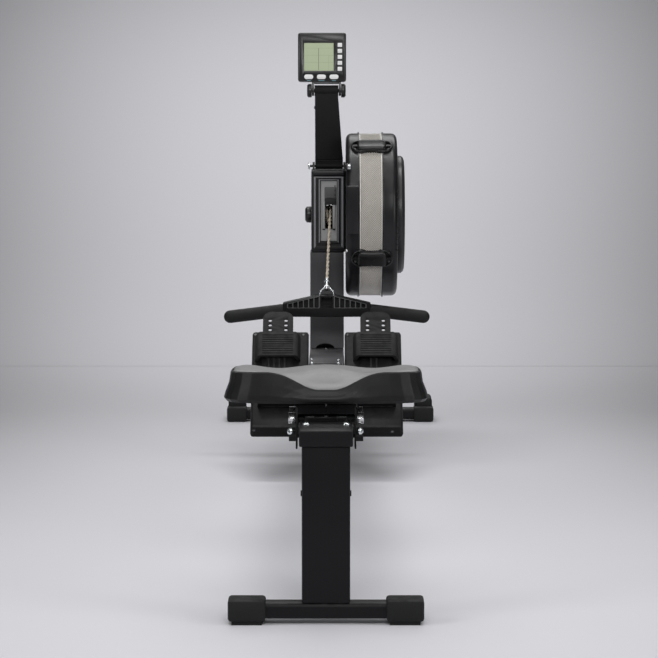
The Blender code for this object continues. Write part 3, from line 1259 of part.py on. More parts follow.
def seat_axle(name, u, level, inner):
    tread, reach = RAIL_WIDTH / 2, inner + CARRIAGE_WALL + CLEAR
    sleeve = inner - FIT
    start = tread + 0.0005
    profile = [(0.0, -reach - NUT_LENGTH), (0.0050, -reach - NUT_LENGTH), (0.0050, -sleeve), (0.0080, -sleeve),
               (0.0080, -start), (0.0050, -start), (0.0050, start), (0.0080, start), (0.0080, sleeve),
               (0.0050, sleeve), (0.0050, reach + NUT_LENGTH), (0.0, reach + NUT_LENGTH)]
    axle = turned("seat_axle_" + name, profile, (0, u, level), "chrome", 16)
    pieces = [axle]
    for side, sign in (("left", -1), ("right", 1)):
        nut = cylinder("axle_nut_{}_{}".format(name, side), NUT_RADIUS, NUT_LENGTH,
                       (sign * (reach + NUT_LENGTH / 2), u, level), (1, 0, 0), sides=6)
        combine(axle, nut, "UNION")
        pieces.append(nut)
    bore = 0.0050 + CLEAR
    groove, shoulder = 0.0180, 0.0195
    roller = [(bore, -tread), (ROLLER_RADIUS, -tread), (ROLLER_RADIUS, -shoulder), (0.0100, -groove),
              (0.0100, groove), (ROLLER_RADIUS, shoulder), (ROLLER_RADIUS, tread), (bore, tread)]
    pieces.append(turned("upper_roller_" + name, roller, (0, u, level), "wheel_plastic", 20, True))
    return pieces


def build():
    rail_frame = empty("rail_frame", (0, along(RAIL_START), rail_height(RAIL_START)), (-RAIL_SLOPE, 0, 0))
    rear_foot()
    rear_leg()
    rail(rail_frame)
    seat(rail_frame)
    carriage(rail_frame)
    column_foot = front_frame()
    front_foot()
    column(column_foot)
    head()
    guide_pulley()
    cord_drum()
    ferrule_top, direction = pull_cord()
    handle(ferrule_top, direction)
    fan_case()
    fan()
    monitor(monitor_arm())
    for side, sign in (("left", -1), ("right", 1)):
        foot_rest(side, sign)
    foot_bar()
    bpy.context.view_layer.update()


clear_scene()
PARTS = make_collection("air_rowing_machine")
CUTTERS = make_collection("cutters")
build()
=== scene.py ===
import json
import math
import bpy
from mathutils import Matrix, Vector

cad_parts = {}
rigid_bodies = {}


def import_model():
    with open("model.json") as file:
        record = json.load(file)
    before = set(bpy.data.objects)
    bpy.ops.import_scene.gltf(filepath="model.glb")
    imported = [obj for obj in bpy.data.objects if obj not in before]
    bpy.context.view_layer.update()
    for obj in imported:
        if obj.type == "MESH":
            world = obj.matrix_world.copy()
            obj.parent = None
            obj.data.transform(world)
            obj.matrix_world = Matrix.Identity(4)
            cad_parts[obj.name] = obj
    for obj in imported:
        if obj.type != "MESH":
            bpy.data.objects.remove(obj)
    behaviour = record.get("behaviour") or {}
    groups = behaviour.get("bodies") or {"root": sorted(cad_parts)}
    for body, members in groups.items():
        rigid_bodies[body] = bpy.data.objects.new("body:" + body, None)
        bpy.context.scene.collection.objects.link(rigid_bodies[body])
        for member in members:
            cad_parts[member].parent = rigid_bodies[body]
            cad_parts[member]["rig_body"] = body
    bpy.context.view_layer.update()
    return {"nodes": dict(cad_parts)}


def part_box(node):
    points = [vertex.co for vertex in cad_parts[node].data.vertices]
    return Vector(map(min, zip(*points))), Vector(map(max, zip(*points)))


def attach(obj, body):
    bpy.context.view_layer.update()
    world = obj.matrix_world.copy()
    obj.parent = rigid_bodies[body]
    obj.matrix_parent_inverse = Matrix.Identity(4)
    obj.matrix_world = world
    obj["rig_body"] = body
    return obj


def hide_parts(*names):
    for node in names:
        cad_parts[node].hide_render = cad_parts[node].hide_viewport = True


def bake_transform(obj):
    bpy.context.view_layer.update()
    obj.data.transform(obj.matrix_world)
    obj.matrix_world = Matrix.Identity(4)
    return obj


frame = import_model()
nodes = frame["nodes"]
scene = bpy.context.scene
print("stage: frame loaded with", len(nodes), "nodes")


def pickNone():
    for obj in bpy.context.selected_objects:
        obj.select_set(False)


def useOnly(obj):
    pickNone()
    obj.select_set(True)
    bpy.context.view_layer.objects.active = obj
    return obj


def settle(obj):  # the place goes into the mesh and the object sits at the origin
    useOnly(obj)
    bpy.ops.object.transform_apply(location=True, rotation=True, scale=True)
    return obj


def applyAll(obj):
    useOnly(obj)
    for modifier in list(obj.modifiers):
        bpy.ops.object.modifier_apply(modifier=modifier.name)
    return obj


def editAll(obj, action="SELECT"):  # into edit mode with the whole mesh selected, or none of it
    useOnly(obj)
    bpy.ops.object.mode_set(mode="EDIT")
    bpy.ops.mesh.select_all(action=action)


def editDone():
    bpy.ops.object.mode_set(mode="OBJECT")


def outward(obj):
    editAll(obj)
    bpy.ops.mesh.normals_make_consistent(inside=False)
    editDone()


def smoothBy(obj, degrees):
    useOnly(obj)
    bpy.ops.object.shade_smooth_by_angle(angle=math.radians(degrees))
    return obj


def newest(name):
    obj = bpy.context.active_object
    obj.name = name
    obj.data.name = name
    return obj


def linked(name, data):
    obj = bpy.data.objects.new(name, data)
    scene.collection.objects.link(obj)
    return obj


def rawMesh(name, points, faces):
    data = bpy.data.meshes.new(name)
    data.from_pydata([tuple(p) for p in points], [], faces)
    data.update()
    return linked(name, data)


def nodeGroup(name, inputs, outputs):  # a colour stands for a colour socket, and a number for a plain one
    group = bpy.data.node_groups.new(name, "ShaderNodeTree")
    for way, sockets in (("INPUT", inputs), ("OUTPUT", outputs)):
        for label, value in sockets.items():
            kind = "NodeSocketColor" if isinstance(value, tuple) else "NodeSocketFloat"
            group.interface.new_socket(label, in_out=way, socket_type=kind).default_value = value
    return group, group.nodes.new("NodeGroupInput"), group.nodes.new("NodeGroupOutput")


def feed(tree, node, values):  # each input takes a link from a socket, or else a plain value
    for label, value in values.items():
        if hasattr(value, "is_output"):
            tree.links.new(value, node.inputs[label])
        else:
            node.inputs[label].default_value = value


def assign(target, settings):
    for label, value in settings.items():
        setattr(target, label, value)


def newNode(tree, kind, values, **settings):
    node = tree.nodes.new("ShaderNode" + kind)
    assign(node, settings)
    feed(tree, node, values)
    return node


def objectPlace(tree):
    return newNode(tree, "TexCoord", {}).outputs["Object"]


def mathNode(tree, operation, a, b, clamp=False):
    return newNode(tree, "Math", {0: a, 1: b}, operation=operation, use_clamp=clamp).outputs["Value"]


def stretch(tree, a, b, gain):  # how far a lies above b, times the gain, kept from 0 to 1
    return mathNode(tree, "MULTIPLY", mathNode(tree, "SUBTRACT", a, b), gain, True)


def colourMix(tree, factor, a, b):
    return newNode(tree, "Mix", {"Factor": factor, "A": a, "B": b}, data_type="RGBA").outputs["Result"]


def rangeNode(tree, value, given, made=(0.0, 1.0)):
    ends = dict(zip(("From Min", "From Max", "To Min", "To Max"), (*given, *made)))
    return newNode(tree, "MapRange", {"Value": value, **ends}).outputs["Result"]


view = {"place": (0.005, -5.650, 1.0616), "tip": 82.86,
        "optics": {"lens": 153.2, "sensor_width": 36.0, "clip_end": 100.0}}
pickNone()
bpy.ops.object.camera_add(location=view["place"], rotation=(math.radians(view["tip"]), 0, 0))
camera = bpy.context.active_object
assign(camera.data, view["optics"])
scene.camera = camera
scene.view_settings.view_transform = "Standard"

studio = {  # the tones along Y, darker in places as painted shade of the light's falloff, how they darken towards the sides as painted shade, and the sweep that rises behind the machine
    "tones": [(-1.6, 0.80), (-0.8, 0.80), (0.0, 0.73), (0.7, 0.66), (1.27, 0.52), (1.9, 0.60), (2.6, 0.63), (3.2, 0.62),
              (3.8, 0.61), (4.4, 0.61), (5.0, 0.61), (5.7, 0.60), (6.3, 0.57), (6.8, 0.50)],
    "tint": (0.985, 0.98, 1.03), "rough": 0.9, "shine": 0.2, "middle": -0.02, "eyeY": -5.65, "spreadAt": 8.05,
    "fadeY": (-0.6, 1.2), "sideShade": (0.06, 0.44), "floorSize": 40, "sweepY": (2.0, 6.6), "sweepCurve": 0.0524,
    "sweepHalf": 2.4, "sweepLift": 0.0004, "sweepSteps": 48, "worldColour": (0.97, 0.98, 1.0, 1), "world": 0.07}


def backdropMaterial(name):
    material = bpy.data.materials.new(name)
    material.use_nodes = True
    tree = material.node_tree
    split = newNode(tree, "SeparateXYZ", {"Vector": objectPlace(tree)})
    x, y = split.outputs["X"], split.outputs["Y"]
    tones = studio["tones"]
    low, high = tones[0][0], tones[-1][0]
    ramp = newNode(tree, "ValToRGB", {"Fac": rangeNode(tree, y, (low, high))})
    ramp.color_ramp.interpolation = "B_SPLINE"
    stops = ramp.color_ramp.elements
    for i, (place, tone) in enumerate(tones):
        stop = stops[0] if i == 0 else stops[-1] if i == len(tones) - 1 else stops.new((place - low) / (high - low))
        stop.color = (*[tone * part for part in studio["tint"]], 1)
    # the painted shade at the sides grows with the distance from the line of sight down the middle
    aside = mathNode(tree, "SUBTRACT", x, studio["middle"])
    away = mathNode(tree, "MAXIMUM", mathNode(tree, "SUBTRACT", y, studio["eyeY"]), 1.0)
    wide = mathNode(tree, "DIVIDE", mathNode(tree, "MULTIPLY", aside, studio["spreadAt"]), away)
    bow = mathNode(tree, "MINIMUM", mathNode(tree, "MULTIPLY", wide, wide), 1.0)
    sideShade = mathNode(tree, "MULTIPLY", bow, rangeNode(tree, y, studio["fadeY"], studio["sideShade"]))
    shade = newNode(tree, "VectorMath", {0: ramp.outputs["Color"], "Scale": mathNode(tree, "SUBTRACT", 1.0, sideShade)},
                    operation="SCALE")
    feed(tree, tree.nodes["Principled BSDF"], {"Base Color": shade.outputs["Vector"], "Roughness": studio["rough"],
                                               "Specular IOR Level": studio["shine"]})
    return material


paint = backdropMaterial("floorPaint")
pickNone()
bpy.ops.mesh.primitive_plane_add(size=studio["floorSize"], location=(0, 0, 0))
floor = settle(newest("studioFloor"))
floor.data.materials.append(paint)
near, far = studio["sweepY"]
points, faces = [], []
for i in range(studio["sweepSteps"] + 1):
    y = near + (far - near) * i / studio["sweepSteps"]
    points += [(side * studio["sweepHalf"], y, studio["sweepLift"] + studio["sweepCurve"] * (y - near) ** 2)
               for side in (-1, 1)]
    if i:
        faces.append((2 * i - 2, 2 * i - 1, 2 * i + 1, 2 * i))
sweep = useOnly(rawMesh("studioSweep", points, faces))
bpy.ops.object.shade_smooth()
sweep.data.materials.append(paint)

world = bpy.data.worlds.new("studioWorld")
world.use_nodes = True
feed(world.node_tree, world.node_tree.nodes["Background"],
     {"Color": studio["worldColour"], "Strength": studio["world"]})
scene.world = world

lamps = {  # where each stands, what it aims at, its size and its watts
    "ceilingSoftbox": ((0.0, -0.6, 3.2), (0, -0.2, 0.0), (3.0, 3.4), 43),
    "frontSoftbox": ((0.2, -4.9, 3.2), (0, 0.3, 0.4), (2.4, 1.2), 78),
    "leftSoftbox": ((-2.8, -2.4, 1.6), (0, -0.2, 0.35), (1.0, 2.0), 28),
    "rightSoftbox": ((2.9, -2.2, 1.6), (0.1, 0.0, 0.4), (1.0, 2.0), 28),
    "farSoftbox": ((0.0, 4.7, 3.4), (0, 4.72, 0.0), (4.5, 2.6), 94),
    "wallSoftbox": ((-0.1, 1.25, 3.0), (0, 2.6, 0.6), (2.2, 0.6), 38),
}
for name, (place, aim, size, watts) in lamps.items():
    light = bpy.data.lights.new(name, "AREA")
    light.shape = "RECTANGLE"
    light.size, light.size_y = size
    light.energy = watts
    holder = linked(name, light)
    holder.location = place
    holder.rotation_euler = (Vector(aim) - Vector(place)).to_track_quat("-Z", "Y").to_euler()
print("stage: camera, floor and light")


grainLooks = {"detail": 3.0, "broadScale": 14.0, "broadDetail": 5.0}


def noiseNode(tree, where, scale, detail):
    return newNode(tree, "TexNoise", {"Vector": where, "Scale": scale, "Detail": detail}).outputs["Fac"]


def makeGrain():  # fine moulded or sprayed texture: height, and a roughness that wanders a little
    group, given, made = nodeGroup("surfaceGrain", {"Scale": 800.0, "Rough": 0.5, "Wander": 0.1},
                                   {"Height": 0.0, "Roughness": 0.0})
    where = objectPlace(group)
    fine = noiseNode(group, where, given.outputs["Scale"], grainLooks["detail"])
    broad = noiseNode(group, where, grainLooks["broadScale"], grainLooks["broadDetail"])
    swing = mathNode(group, "MULTIPLY", mathNode(group, "SUBTRACT", broad, 0.5), given.outputs["Wander"])
    feed(group, made, {"Height": fine, "Roughness": mathNode(group, "ADD", given.outputs["Rough"], swing, True)})
    return group


sheenWearAndDustLooks = {"samples": 3, "radius": 0.0022, "edgeFrom": 0.995, "edgeGain": 9.0, "speckScale": 60.0, "speckDetail": 6.0,
             "speckFrom": 0.36, "speckGain": 4.0, "flatFrom": 0.35, "flatGain": 1.6, "dust": (0.42, 0.41, 0.40, 1)}


def makeEdgeSheenAndWear():  # edges take the edge colour, in most finishes lighter as a painted highlight broken up like wear, and thin dust on what faces up
    black = (0, 0, 0, 1)
    group, given, made = nodeGroup("edgeAndDust", {"Base": black, "Edge": black, "Edge Amount": 0.5, "Dust": 0.05},
                                   {"Color": black})
    normal = newNode(group, "NewGeometry", {}).outputs["Normal"]
    soft = newNode(group, "Bevel", {"Radius": sheenWearAndDustLooks["radius"]}, samples=sheenWearAndDustLooks["samples"]).outputs["Normal"]
    turn = newNode(group, "VectorMath", {0: soft, 1: normal}, operation="DOT_PRODUCT")
    edge = stretch(group, sheenWearAndDustLooks["edgeFrom"], turn.outputs["Value"], sheenWearAndDustLooks["edgeGain"])
    speck = noiseNode(group, objectPlace(group), sheenWearAndDustLooks["speckScale"], sheenWearAndDustLooks["speckDetail"])
    broken = stretch(group, speck, sheenWearAndDustLooks["speckFrom"], sheenWearAndDustLooks["speckGain"])
    sheenAndWear = mathNode(group, "MULTIPLY", mathNode(group, "MULTIPLY", edge, broken), given.outputs["Edge Amount"])
    edged = colourMix(group, sheenAndWear, given.outputs["Base"], given.outputs["Edge"])
    up = newNode(group, "SeparateXYZ", {"Vector": normal})
    flat = stretch(group, up.outputs["Z"], sheenWearAndDustLooks["flatFrom"], sheenWearAndDustLooks["flatGain"])
    film = mathNode(group, "MULTIPLY", mathNode(group, "MULTIPLY", flat, broken), given.outputs["Dust"])
    feed(group, made, {"Color": colourMix(group, film, edged, sheenWearAndDustLooks["dust"])})
    return group


grain = makeGrain()
edgeSheenAndWear = makeEdgeSheenAndWear()

# the edge colour, lighter than the base in most rows, paints highlights along the edges and partly stands for wear
finishColumns = ("base", "edge", "rough", "wander", "scale", "bump", "dust", "metal", "shine")
finishes = {  # in the order of the columns: one number is a plain grey, and no edge colour stands for the base's
    "powderCoat": ((0.006, 0.006, 0.007), (0.06, 0.06, 0.062), 0.46, 0.14, 1300, 0.00006, 0.035, 0.0, 0.2),
    "smoothBlack": ((0.0105, 0.0105, 0.011), 0.05, 0.3, 0.1, 900, 0.00002, 0.03),
    "matteArm": ((0.005, 0.005, 0.0054), 0.03, 0.62, 0.08, 1400, 0.00005, 0.02, 0.0, 0.2),
    "charcoalShroud": ((0.042, 0.042, 0.0455), (0.075, 0.075, 0.08), 0.48, 0.1, 1500, 0.00006, 0.04, 0.0, 0.35),
    "headPlastic": ((0.014, 0.014, 0.0155), (0.07, 0.07, 0.075), 0.38, 0.1, 1500, 0.00005, 0.03, 0.0, 0.35),
    "casePlastic": ((0.0095, 0.0095, 0.0108), (0.08, 0.08, 0.083), 0.3, 0.12, 1500, 0.00006, 0.06, 0.0, 0.34),
    # the inlet cover's plastic is the case plastic made lighter, as painted reflection on the cover's rim
    "coverPlastic": ((0.022, 0.022, 0.024), (0.08, 0.08, 0.083), 0.34, 0.12, 1500, 0.00006, 0.06),
    "footPlastic": ((0.0055, 0.0055, 0.006), (0.05, 0.05, 0.052), 0.5, 0.1, 1300, 0.00005, 0.02, 0.0, 0.16),
    "softRubber": ((0.011, 0.011, 0.0116), 0.03, 0.72, 0.1, 1000, 0.0001, 0.05, 0.0, 0.3),
    "handleBlack": ((0.0055, 0.0055, 0.0062), (0.04, 0.04, 0.042), 0.42, 0.1, 1200, 0.00005, 0.03, 0.0, 0.26),
    "seatBlack": ((0.0042, 0.0042, 0.0047), 0.03, 0.45, 0.08, 1600, 0.00002, 0.01, 0.0, 0.33),
    "railMetal": ((0.055, 0.055, 0.058), 0.3, 0.34, 0.14, 700, 0.00003, 0.03, 0.85),
    "fanMetal": ((0.24, 0.24, 0.25), 0.5, 0.38, 0.12, 500, 0.00004, 0.04, 0.9),
    "brightSteel": ((0.72, 0.72, 0.73), 0.8, 0.17, 0.1, 900, 0.00002, 0.0, 1.0),
    "bandWire": ((0.88, 0.85, 0.8), (0.75, 0.72, 0.68), 0.38, 0.1, 900, 0.00001, 0.0, 0.7),
    "bandLining": ((0.46, 0.44, 0.41), (0.35, 0.33, 0.3), 0.6, 0.1, 1200, 0.00004, 0.0, 0.2),
    # the band's lips are near-white, so its edges show painted highlight lines
    "polishedHighlightEdge": ((0.84, 0.82, 0.78), 0.9, 0.34, 0.06, 900, 0.00001, 0.0, 0.35),
    "clipPlastic": ((0.006, 0.006, 0.0063), (0.05, 0.05, 0.052), 0.28, 0.1, 1500, 0.00004, 0.05, 0.0, 0.4),
    # near-black for holes, slots, gaps and hollows as painted shade, and the dark of seams
    "recessBlack": ((0.004, 0.004, 0.0042), 0.01, 0.6, 0.05, 900, 0.00002),
    "darkSteel": ((0.16, 0.16, 0.165), 0.45, 0.3, 0.1, 900, 0.00002, 0.0, 1.0),
    "plateGrey": (0.33, 0.2, 0.45, 0.08, 1200, 0.00003, 0.05),
    "hoodGrey": (0.08, 0.1, 0.5, 0.1, 1200, 0.00003, 0.03),
    "zinc": ((0.8, 0.84, 0.85), (0.9, 0.92, 0.92), 0.24, 0.12, 700, 0.00002, 0.0, 1.0),
    "cordTan": ((0.6, 0.53, 0.43), (0.65, 0.58, 0.48), 0.8, 0.1, 2600, 0.00012),
    "cordShade": ((0.46, 0.4, 0.32), (0.36, 0.31, 0.24), 0.85, 0.1, 2600, 0.00012),
    "lcdGlass": ((0.434, 0.503, 0.323), (0.46, 0.53, 0.35), 0.3, 0.05, 160, 0.0),
    "lcdLine": ((0.3, 0.355, 0.225), None, 0.4, 0.02, 160, 0.0),
    "lcdPost": ((0.115, 0.14, 0.085), None, 0.4, 0.02, 160, 0.0),
    "markCyan": ((0.22, 0.42, 0.46), None, 0.5, 0.02, 160, 0.0),
    "recessSoft": ((0.006, 0.006, 0.0065), 0.01, 0.4, 0.05, 900, 0.00001),
    # the seat pad's grey stands for painted reflection of the bright wall on black vinyl
    "seatVinylSheen": ((0.21, 0.207, 0.21), 0.22, 0.42, 0.1, 700, 0.00012, 0.05),
    "neckGrey": ((0.062, 0.062, 0.066), (0.1, 0.1, 0.105), 0.48, 0.1, 1300, 0.00005, 0.04, 0.0, 0.35),
    # the bezel's ridges are the head's plastic made lighter as a painted highlight
    "ridgeHighlightGrey": ((0.22, 0.22, 0.232), (0.22, 0.22, 0.23), 0.36, 0.08, 1300, 0.00003),
    # the handle's ribs and front strips are its black plastic made lighter as a painted highlight
    "ribGrey": ((0.085, 0.085, 0.088), 0.12, 0.45, 0.08, 1300, 0.00003),
    "keyWhite": ((0.82, 0.82, 0.81), 0.9, 0.45, 0.05, 1200, 0.00002),
    "rollerPlastic": ((0.008, 0.008, 0.0085), 0.05, 0.36, 0.14, 900, 0.00004, 0.03, 0.0, 0.35),
}


def opaque(tone):
    return (*tone, 1) if isinstance(tone, tuple) else (tone, tone, tone, 1)


def makeFinish(name, row):
    look = {"dust": 0.0, "metal": 0.0, "shine": 0.5, **dict(zip(finishColumns, row))}
    material = bpy.data.materials.new(name)
    material.use_nodes = True
    tree = material.node_tree
    texture = newNode(tree, "Group", {}, node_tree=grain)
    feed(tree, texture, {"Scale": look["scale"], "Rough": look["rough"], "Wander": look["wander"]})
    tint = newNode(tree, "Group", {}, node_tree=edgeSheenAndWear)
    feed(tree, tint, {"Base": opaque(look["base"]), "Edge": opaque(look["edge"] or look["base"]), "Dust": look["dust"]})
    relief = newNode(tree, "Bump", {"Strength": 1.0, "Distance": look["bump"], "Height": texture.outputs["Height"]})
    feed(tree, tree.nodes["Principled BSDF"],
         {"Metallic": look["metal"], "Specular IOR Level": look["shine"], "Normal": relief.outputs["Normal"],
          "Roughness": texture.outputs["Roughness"], "Base Color": tint.outputs["Color"]})
    return material


finish = {name: makeFinish(name, row) for name, row in finishes.items()}
print("stage: finishes")


def dress(obj, name):
    obj.data.materials.clear()
    obj.data.materials.append(finish[name])
    for face in obj.data.polygons:
        face.material_index = 0
    return obj


def rounded(obj, width, segments=3, sharp=30, smooth=40):
    assign(obj.modifiers.new("edge", "BEVEL"), {"width": width, "segments": segments, "limit_method": "ANGLE",
                                                "angle_limit": math.radians(sharp)})
    applyAll(obj)
    return smoothBy(obj, smooth)


skinLooks = {"merge": 0.00002, "flat": 0.6, "segments": 2, "sharp": 32}


def skinOf(node, finishName, bevel=0.0):
    # a merged copy of a solid, with its edges rounded and its curved faces smooth, stands for the solid
    obj = linked(node + "Skin", nodes[node].data.copy())
    editAll(obj)
    bpy.ops.mesh.customdata_custom_splitnormals_clear()
    bpy.ops.mesh.remove_doubles(threshold=skinLooks["merge"])
    bpy.ops.mesh.dissolve_limited(angle_limit=math.radians(skinLooks["flat"]))
    editDone()
    if bevel:
        rounded(obj, bevel, skinLooks["segments"], skinLooks["sharp"], skinLooks["sharp"])
    else:
        smoothBy(obj, skinLooks["sharp"])
    dress(obj, finishName)
    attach(obj, nodes[node]["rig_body"])
    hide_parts(node)
    return obj


solidLooks = {  # finish, and edge rounding in metres if any; a name that ends in _ has a left and a right piece
    "rear_foot_bar": ("powderCoat",), "rear_leg": ("powderCoat",), "rail_end_bracket": ("powderCoat", 0.0008),
    "rail": ("railMetal", 0.0008), "front_frame": ("neckGrey",), "front_foot_bar": ("powderCoat",),
    "rear_foot_cap_": ("softRubber",), "front_foot_cap_": ("softRubber",),
    "transport_wheel_": ("rollerPlastic",), "column_shroud": ("charcoalShroud",),
    "column_head": ("headPlastic", 0.0006), "axle_end_cap": ("smoothBlack", 0.0008),
    "fan_axle": ("brightSteel", 0.0006), "cord_drum": ("rollerPlastic", 0.0005),
    "cord_pulley": ("rollerPlastic", 0.0006), "fan_case_inner": ("casePlastic", 0.0006),
    "fan_case_outer": ("casePlastic", 0.0006), "fan_cover": ("coverPlastic", 0.0008),
    "damper_dial": ("smoothBlack", 0.0008), "fan_wheel": ("fanMetal",), "foot_rest_bar": ("powderCoat",),
    "foot_plate_": ("footPlastic",), "toe_slider_": ("footPlastic", 0.0005), "foot_strap_": ("softRubber", 0.0006),
    "handle_core": ("handleBlack", 0.0005), "grip_": ("softRubber",), "cord_clevis": ("brightSteel",),
    "carriage_plate_": ("powderCoat", 0.0004), "seat_axle_rear": ("brightSteel", 0.0004),
    "seat_axle_front": ("brightSteel", 0.0004), "upper_roller_rear": ("rollerPlastic", 0.0004),
    "upper_roller_front": ("rollerPlastic", 0.0004), "lower_roller_": ("rollerPlastic", 0.0004),
    "monitor_arm": ("matteArm",), "tilt_pin": ("smoothBlack", 0.0006), "monitor_case": ("smoothBlack", 0.0005),
    "seat_shell": ("seatBlack",),
}
skins = {}
for node, looks in solidLooks.items():
    for name in (node + "left", node + "right") if node.endswith("_") else (node,):
        skins[name] = skinOf(name, *looks)
for node in sorted(nodes):
    if "button" in node:
        skins[node] = skinOf(node, "keyWhite", 0.0004)
print("stage: skins on", len(skins), "solids")


def meshObject(name, points, faces, finishName):
    return dress(rawMesh(name, points, faces), finishName)


def around(sides):
    return [2 * math.pi * i / sides for i in range(sides)]


def tubeFaces(rings, sides):  # four-sided faces from each ring of points to the next
    return [(k * sides + i, k * sides + (i + 1) % sides, (k + 1) * sides + (i + 1) % sides, (k + 1) * sides + i)
            for k in range(rings - 1) for i in range(sides)]


def lastRing(rings, sides):
    return tuple((rings - 1) * sides + i for i in range(sides))


def block(name, low, high, finishName, bevel=0.0, segments=3):
    pickNone()
    bpy.ops.mesh.primitive_cube_add(size=1, location=[(a + b) / 2 for a, b in zip(low, high)])
    obj = newest(name)
    obj.scale = [b - a for a, b in zip(low, high)]
    dress(settle(obj), finishName)
    return rounded(obj, bevel, segments) if bevel else obj


def rod(name, start, end, radius, finishName, sides=32, bevel=0.0):
    start, end = Vector(start), Vector(end)
    pickNone()
    bpy.ops.mesh.primitive_cylinder_add(vertices=sides, radius=radius, depth=(end - start).length,
                                        location=(start + end) / 2,
                                        rotation=(end - start).to_track_quat("Z", "Y").to_euler())
    obj = dress(settle(newest(name)), finishName)
    return rounded(obj, bevel) if bevel else rounded(obj, 0.0001, 1)


screw = {"dome": [(1.0, 0.0), (1.0, 0.45), (0.93, 0.75), (0.78, 0.94), (0.45, 1.0)], "socket": 0.45, "hexagon": 0.86,
         "floor": 0.35, "sides": 24, "smooth": 50}


def panHead(name, place, toward, radius, height, finishName="brightSteel"):
    # a screw head: a dome with a hexagonal socket
    turn = Vector(toward).normalized().to_track_quat("Z", "Y").to_matrix()
    angles = around(screw["sides"])
    points = [Vector((radius * share * math.cos(angle), radius * share * math.sin(angle), height * lift))
              for share, lift in screw["dome"] for angle in angles]
    for lift in (1.0, screw["floor"]):
        for angle in angles:
            hexed = math.cos(math.pi / 6) / math.cos((angle + math.pi / 6) % (math.pi / 3) - math.pi / 6)
            reach = radius * screw["socket"] * screw["hexagon"] * hexed
            points.append(Vector((reach * math.cos(angle), reach * math.sin(angle), height * lift)))
    rings = len(screw["dome"]) + 2
    faces = tubeFaces(rings, screw["sides"]) + [lastRing(rings, screw["sides"])]
    obj = meshObject(name, [turn @ p + Vector(place) for p in points], faces, finishName)
    return smoothBy(obj, screw["smooth"])


def joined(name, pieces):
    pickNone()
    for piece in pieces:
        piece.select_set(True)
    bpy.context.view_layer.objects.active = pieces[0]
    bpy.ops.object.join()
    return newest(name)


def give(obj, body, *replaced):
    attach(obj, body)
    if replaced:
        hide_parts(*replaced)


housing = {"axle": (0.781, 0.5217), "radius": 0.1866}


def onDrum(x, across, out, angle=0.0):  # a place on the housing: across runs round it and out away from the axle
    turn = math.radians(angle) + across / housing["radius"]
    reach = housing["radius"] + out
    return (x, housing["axle"][0] - reach * math.cos(turn), housing["axle"][1] + reach * math.sin(turn))


band = {"x": (0.0738, 0.1250), "cell": 0.0026, "wire": 0.0011, "sunk": -0.0012, "lining": -0.0022, "sides": 128,
        "lip": 0.0012, "lipSunk": 0.0006, "lipSides": 12, "smooth": 40}


def makeBand():  # a mesh of fine wires over a lining, with a polished lip along each side in near-white as a painted highlight
    low, high = band["x"]
    turn = 2 * math.pi * housing["radius"]
    count = 2 * round(turn / band["cell"] / 2)
    rows = 2 * round((high - low) / band["cell"] / 2)
    step = (high - low) / rows
    points, faces, index = [], [], {}
    for j in range(rows + 1):
        for i in range(j % 2, count, 2):
            index[i, j] = len(points)
            points.append(onDrum(low + j * step, turn * i / count, band["sunk"]))
    for j in range(1, rows):
        for i in range((j + 1) % 2, count, 2):
            faces.append((index[(i - 1) % count, j], index[i, j - 1], index[(i + 1) % count, j], index[i, j + 1]))
    wires = meshObject("bandWires", points, faces, "bandWire")
    assign(wires.modifiers.new("wires", "WIREFRAME"), {"thickness": band["wire"], "use_even_offset": False})
    pieces = [applyAll(wires)]
    sides = band["sides"]
    lining = [onDrum(x, turn * i / sides, band["lining"]) for x in band["x"] for i in range(sides)]
    pieces.append(smoothBy(meshObject("bandLining", lining, tubeFaces(2, sides), "bandLining"), band["smooth"]))
    for x in (low + band["lip"], high - band["lip"]):
        pickNone()
        bpy.ops.mesh.primitive_torus_add(major_segments=sides, minor_segments=band["lipSides"],
                                         major_radius=housing["radius"] - band["lipSunk"], minor_radius=band["lip"],
                                         location=(x, *housing["axle"]), rotation=(0, math.radians(90), 0))
        pieces.append(dress(settle(newest("bandLip")), "polishedHighlightEdge"))
        bpy.ops.object.shade_smooth()
    give(joined("meshBand", pieces), "frame", "fan_mesh_band")


def sweepOnDrum(name, middle, angle, rings):
    # rings of (x, across, out) round a common middle, each bent to the housing, joined one to the next
    points = [onDrum(middle + x, across, out, angle) for ring in rings for x, across, out in ring]
    shape = len(rings), len(rings[0])
    obj = meshObject(name, points, tubeFaces(*shape) + [lastRing(*shape)], "clipPlastic")
    outward(obj)
    return smoothBy(obj, 42)


clip = {"x": (0.0544, 0.1489), "angles": (59.0, -26.5, 149.0, 239.0), "cup": 0.0215, "cupSides": 40,
        "cupRings": ((1.0, -0.0045), (1.0, 0.0046), (0.965, 0.0060), (0.90, 0.0066), (0.84, 0.0060), (0.80, 0.0044),
                     (0.78, 0.0006)),
        "studs": ((0.0095, "recessBlack", 0.0016), (-0.0095, "darkSteel", 0.0030)), "studIn": 0.0088, "studLift": 0.0002,
        "stud": 0.0036, "web": (0.0145, 0.0030), "webHalf": 0.0028, "webLift": (0.0004, 0.0060), "barIn": 0.0148,
        "barWide": 0.86, "barSides": 64, "barPower": (0.28, 0.40), "waist": 0.07,
        "barRings": ((0.0, -0.0035), (0.0, 0.0078), (-0.0010, 0.0100), (-0.0028, 0.0116), (-0.0052, 0.0124),
                     (-0.0090, 0.0128))}


